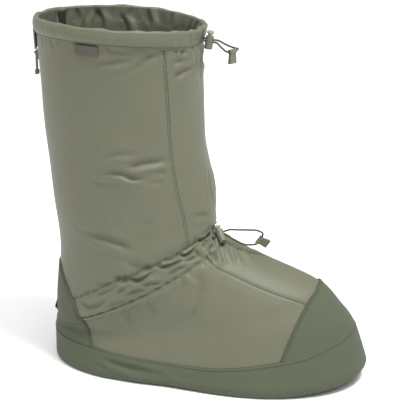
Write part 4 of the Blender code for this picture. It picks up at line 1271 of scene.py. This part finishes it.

# Dark tubes along the vamp seams and the top edges of the rand, toe cap and heel counter: painted shade of the
# gaps at these seams and edges
shade_line_paths = [cloth_line(SEAM_LINES[seam], 0.1 * MM) for seam in ("vamp_outer", "vamp_inner")]
shade_line_paths += [cloth_line(line, 0.25 * MM) for line in (top_line, toe_line, counter_line)]
tube("painted_edge_shade", shade_line_paths, 0.34 * MM, THREAD_AND_SHADE)


# Rear zip, tabs and label

def back_patch(name, node, degrees, z_middle, width, height, thickness, base, material, inside=False,
               taper=0.0, crown=0.0):
    """A pad that follows the boot, placed in degrees and millimetres. Its lower end may taper."""
    u_middle = math.radians(degrees)
    v_middle = row_at(degrees, z_middle)
    turn = 0.01
    step = plain_surface(u_middle + turn, v_middle) - plain_surface(u_middle, v_middle)
    reach = np.linalg.norm(step) / turn
    across = eased(width * MM, 0.00025, 0.0012)
    up = eased(height * MM, 0.00025, 0.0012)
    aside = across * 2.0 - 1.0
    narrow = 1.0 - taper * np.clip(1.0 - 4.0 * up, 0.0, None)[:, None]
    u_grid = u_middle + aside * narrow * width * MM / 2.0 / reach
    v_rows = row_at(degrees, z_middle + (up - 0.5) * height)[:, None]
    v_grid = np.broadcast_to(v_rows, u_grid.shape)
    side = -1.0 if inside else 1.0
    sides = edge_lift(across, width * MM, thickness * 0.45)
    ends = edge_lift(up, height * MM, thickness * 0.45)[:, None]
    lift = thickness * (0.25 + 0.75 * np.minimum(sides, ends))
    extra = (UPPER_WALL if inside else 0.0) + base + crown * np.exp(-(aside * width / 18.0) ** 4)
    extra = np.broadcast_to(extra, lift.shape)
    top = sheet(u_grid, v_grid, (lift + extra) * side)
    bottom = sheet(u_grid, v_grid, extra * side)
    if inside:
        top, bottom = top[:, ::-1], bottom[:, ::-1]
    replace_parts(slab_piece(name, top, bottom, material), node)


back_patch("label_tab", "side_label", 98.0, 357.5, 25.0, 11.0, 0.0014, 0.0012, LABEL, taper=0.10)
back_patch("rear_flap", "rear_tab", 180.0, 356.6, 36.0, 23.0, 0.0020, 0.0018, OLIVE,
           crown=0.0022)
back_patch("inner_web", "inner_tab", 207.0, 366.9, 10.0, 22.0, 0.0016, 0.0018, WEB, inside=True)
back_patch("zip_band", "zip_tape", 180.0, 251.0, 12.0, 212.0, 0.0009, 0.0004, WEB)


def back_place(height_mm):
    """Point and normal on the middle of the back."""
    u = np.array([math.pi])
    v = np.array([row_at(180.0, height_mm)])
    return plain_surface(u, v)[0], outward(u, v)[0]


LOOP_REACH = 0.0019
LOOP_SHIFT = 0.0003
LOOP_RADIUS = 0.00058


def build_teeth():
    """The coil of the closed zip: small bridged loops down the middle of the tape."""
    vertices = []
    faces = []
    side_way = np.array([0.0, 1.0, 0.0])
    for index, height in enumerate(np.arange(146.0, 352.0, 1.5)):
        point, normal = back_place(height)
        up = np.cross(normal, side_way)
        shift = LOOP_SHIFT if index % 2 else -LOOP_SHIFT
        rings = []
        for share in (-1.0, -0.7, 0.0, 0.7, 1.0):
            size = LOOP_RADIUS * (math.sqrt(1.0 - abs(share) ** 3) * 0.8 + 0.2)
            rise = 0.0013 + 0.0005 * (1.0 - share ** 2)
            centre = point + side_way * (share * LOOP_REACH + shift) + normal * rise
            rings.append(ring_points(centre, up * size, normal * size))
        add_rings(vertices, faces, rings)
    mesh_piece("zip_teeth", vertices, faces, PLASTIC)


# The folded strip at the heel, down its outside and back up its inside: height and lift in mm
HEEL_STRIP = ((69.5, 0.6), (64.0, 2.2), (59.0, 3.6), (55.5, 4.6), (54.2, 4.9), (53.0, 4.5), (51.0, 3.0),
              (49.2, 0.6), (50.2, 0.2), (51.5, 1.2), (53.2, 1.9), (54.5, 2.1), (56.0, 2.0), (58.5, 1.6),
              (63.0, 0.9), (68.0, 0.2))
STRIP_HALF_WIDTH = 0.0072
STRIP_LIFT = 1.5


def build_heel_tab():
    """A folded webbing tab: a flat strip that leaves the counter, turns over and comes back."""
    across = np.linspace(-1.0, 1.0, 13)
    shape = np.column_stack([0.0006 * across ** 2, STRIP_HALF_WIDTH * across, 0.0 * across])
    rows = []
    for height, lift in HEEL_STRIP:
        point, normal = back_place(height)
        lifts = (lift + STRIP_LIFT + 0.05 * np.cos(across * 9.0)) * MM
        rows.append(point + normal * lifts[:, None] + shape)
    count = len(rows)
    cols = len(across)
    faces, _ = grid_faces(count, cols, False)
    caps = [tuple(index * cols for index in range(count)),
            tuple(index * cols + cols - 1 for index in reversed(range(count)))]
    vertices = np.concatenate(rows)
    piece = mesh_piece("heel_webbing", vertices, [tuple(face) for face in faces] + caps, WEB)
    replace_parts(piece, "heel_tab")


build_teeth()
build_heel_tab()

# Hard parts keep their solids and get their finish
for node, material in (("collar_lock_barrel", PLASTIC), ("collar_lock_button", PALE),
                       ("collar_cord_end", PLASTIC), ("ankle_lock_barrel", PLASTIC),
                       ("ankle_lock_button", PALE), ("ankle_cord_end", PLASTIC),
                       ("zip_slider", PLASTIC), ("zip_pull", PLASTIC)):
    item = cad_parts[node]
    for slot in item.material_slots:
        slot.material = material
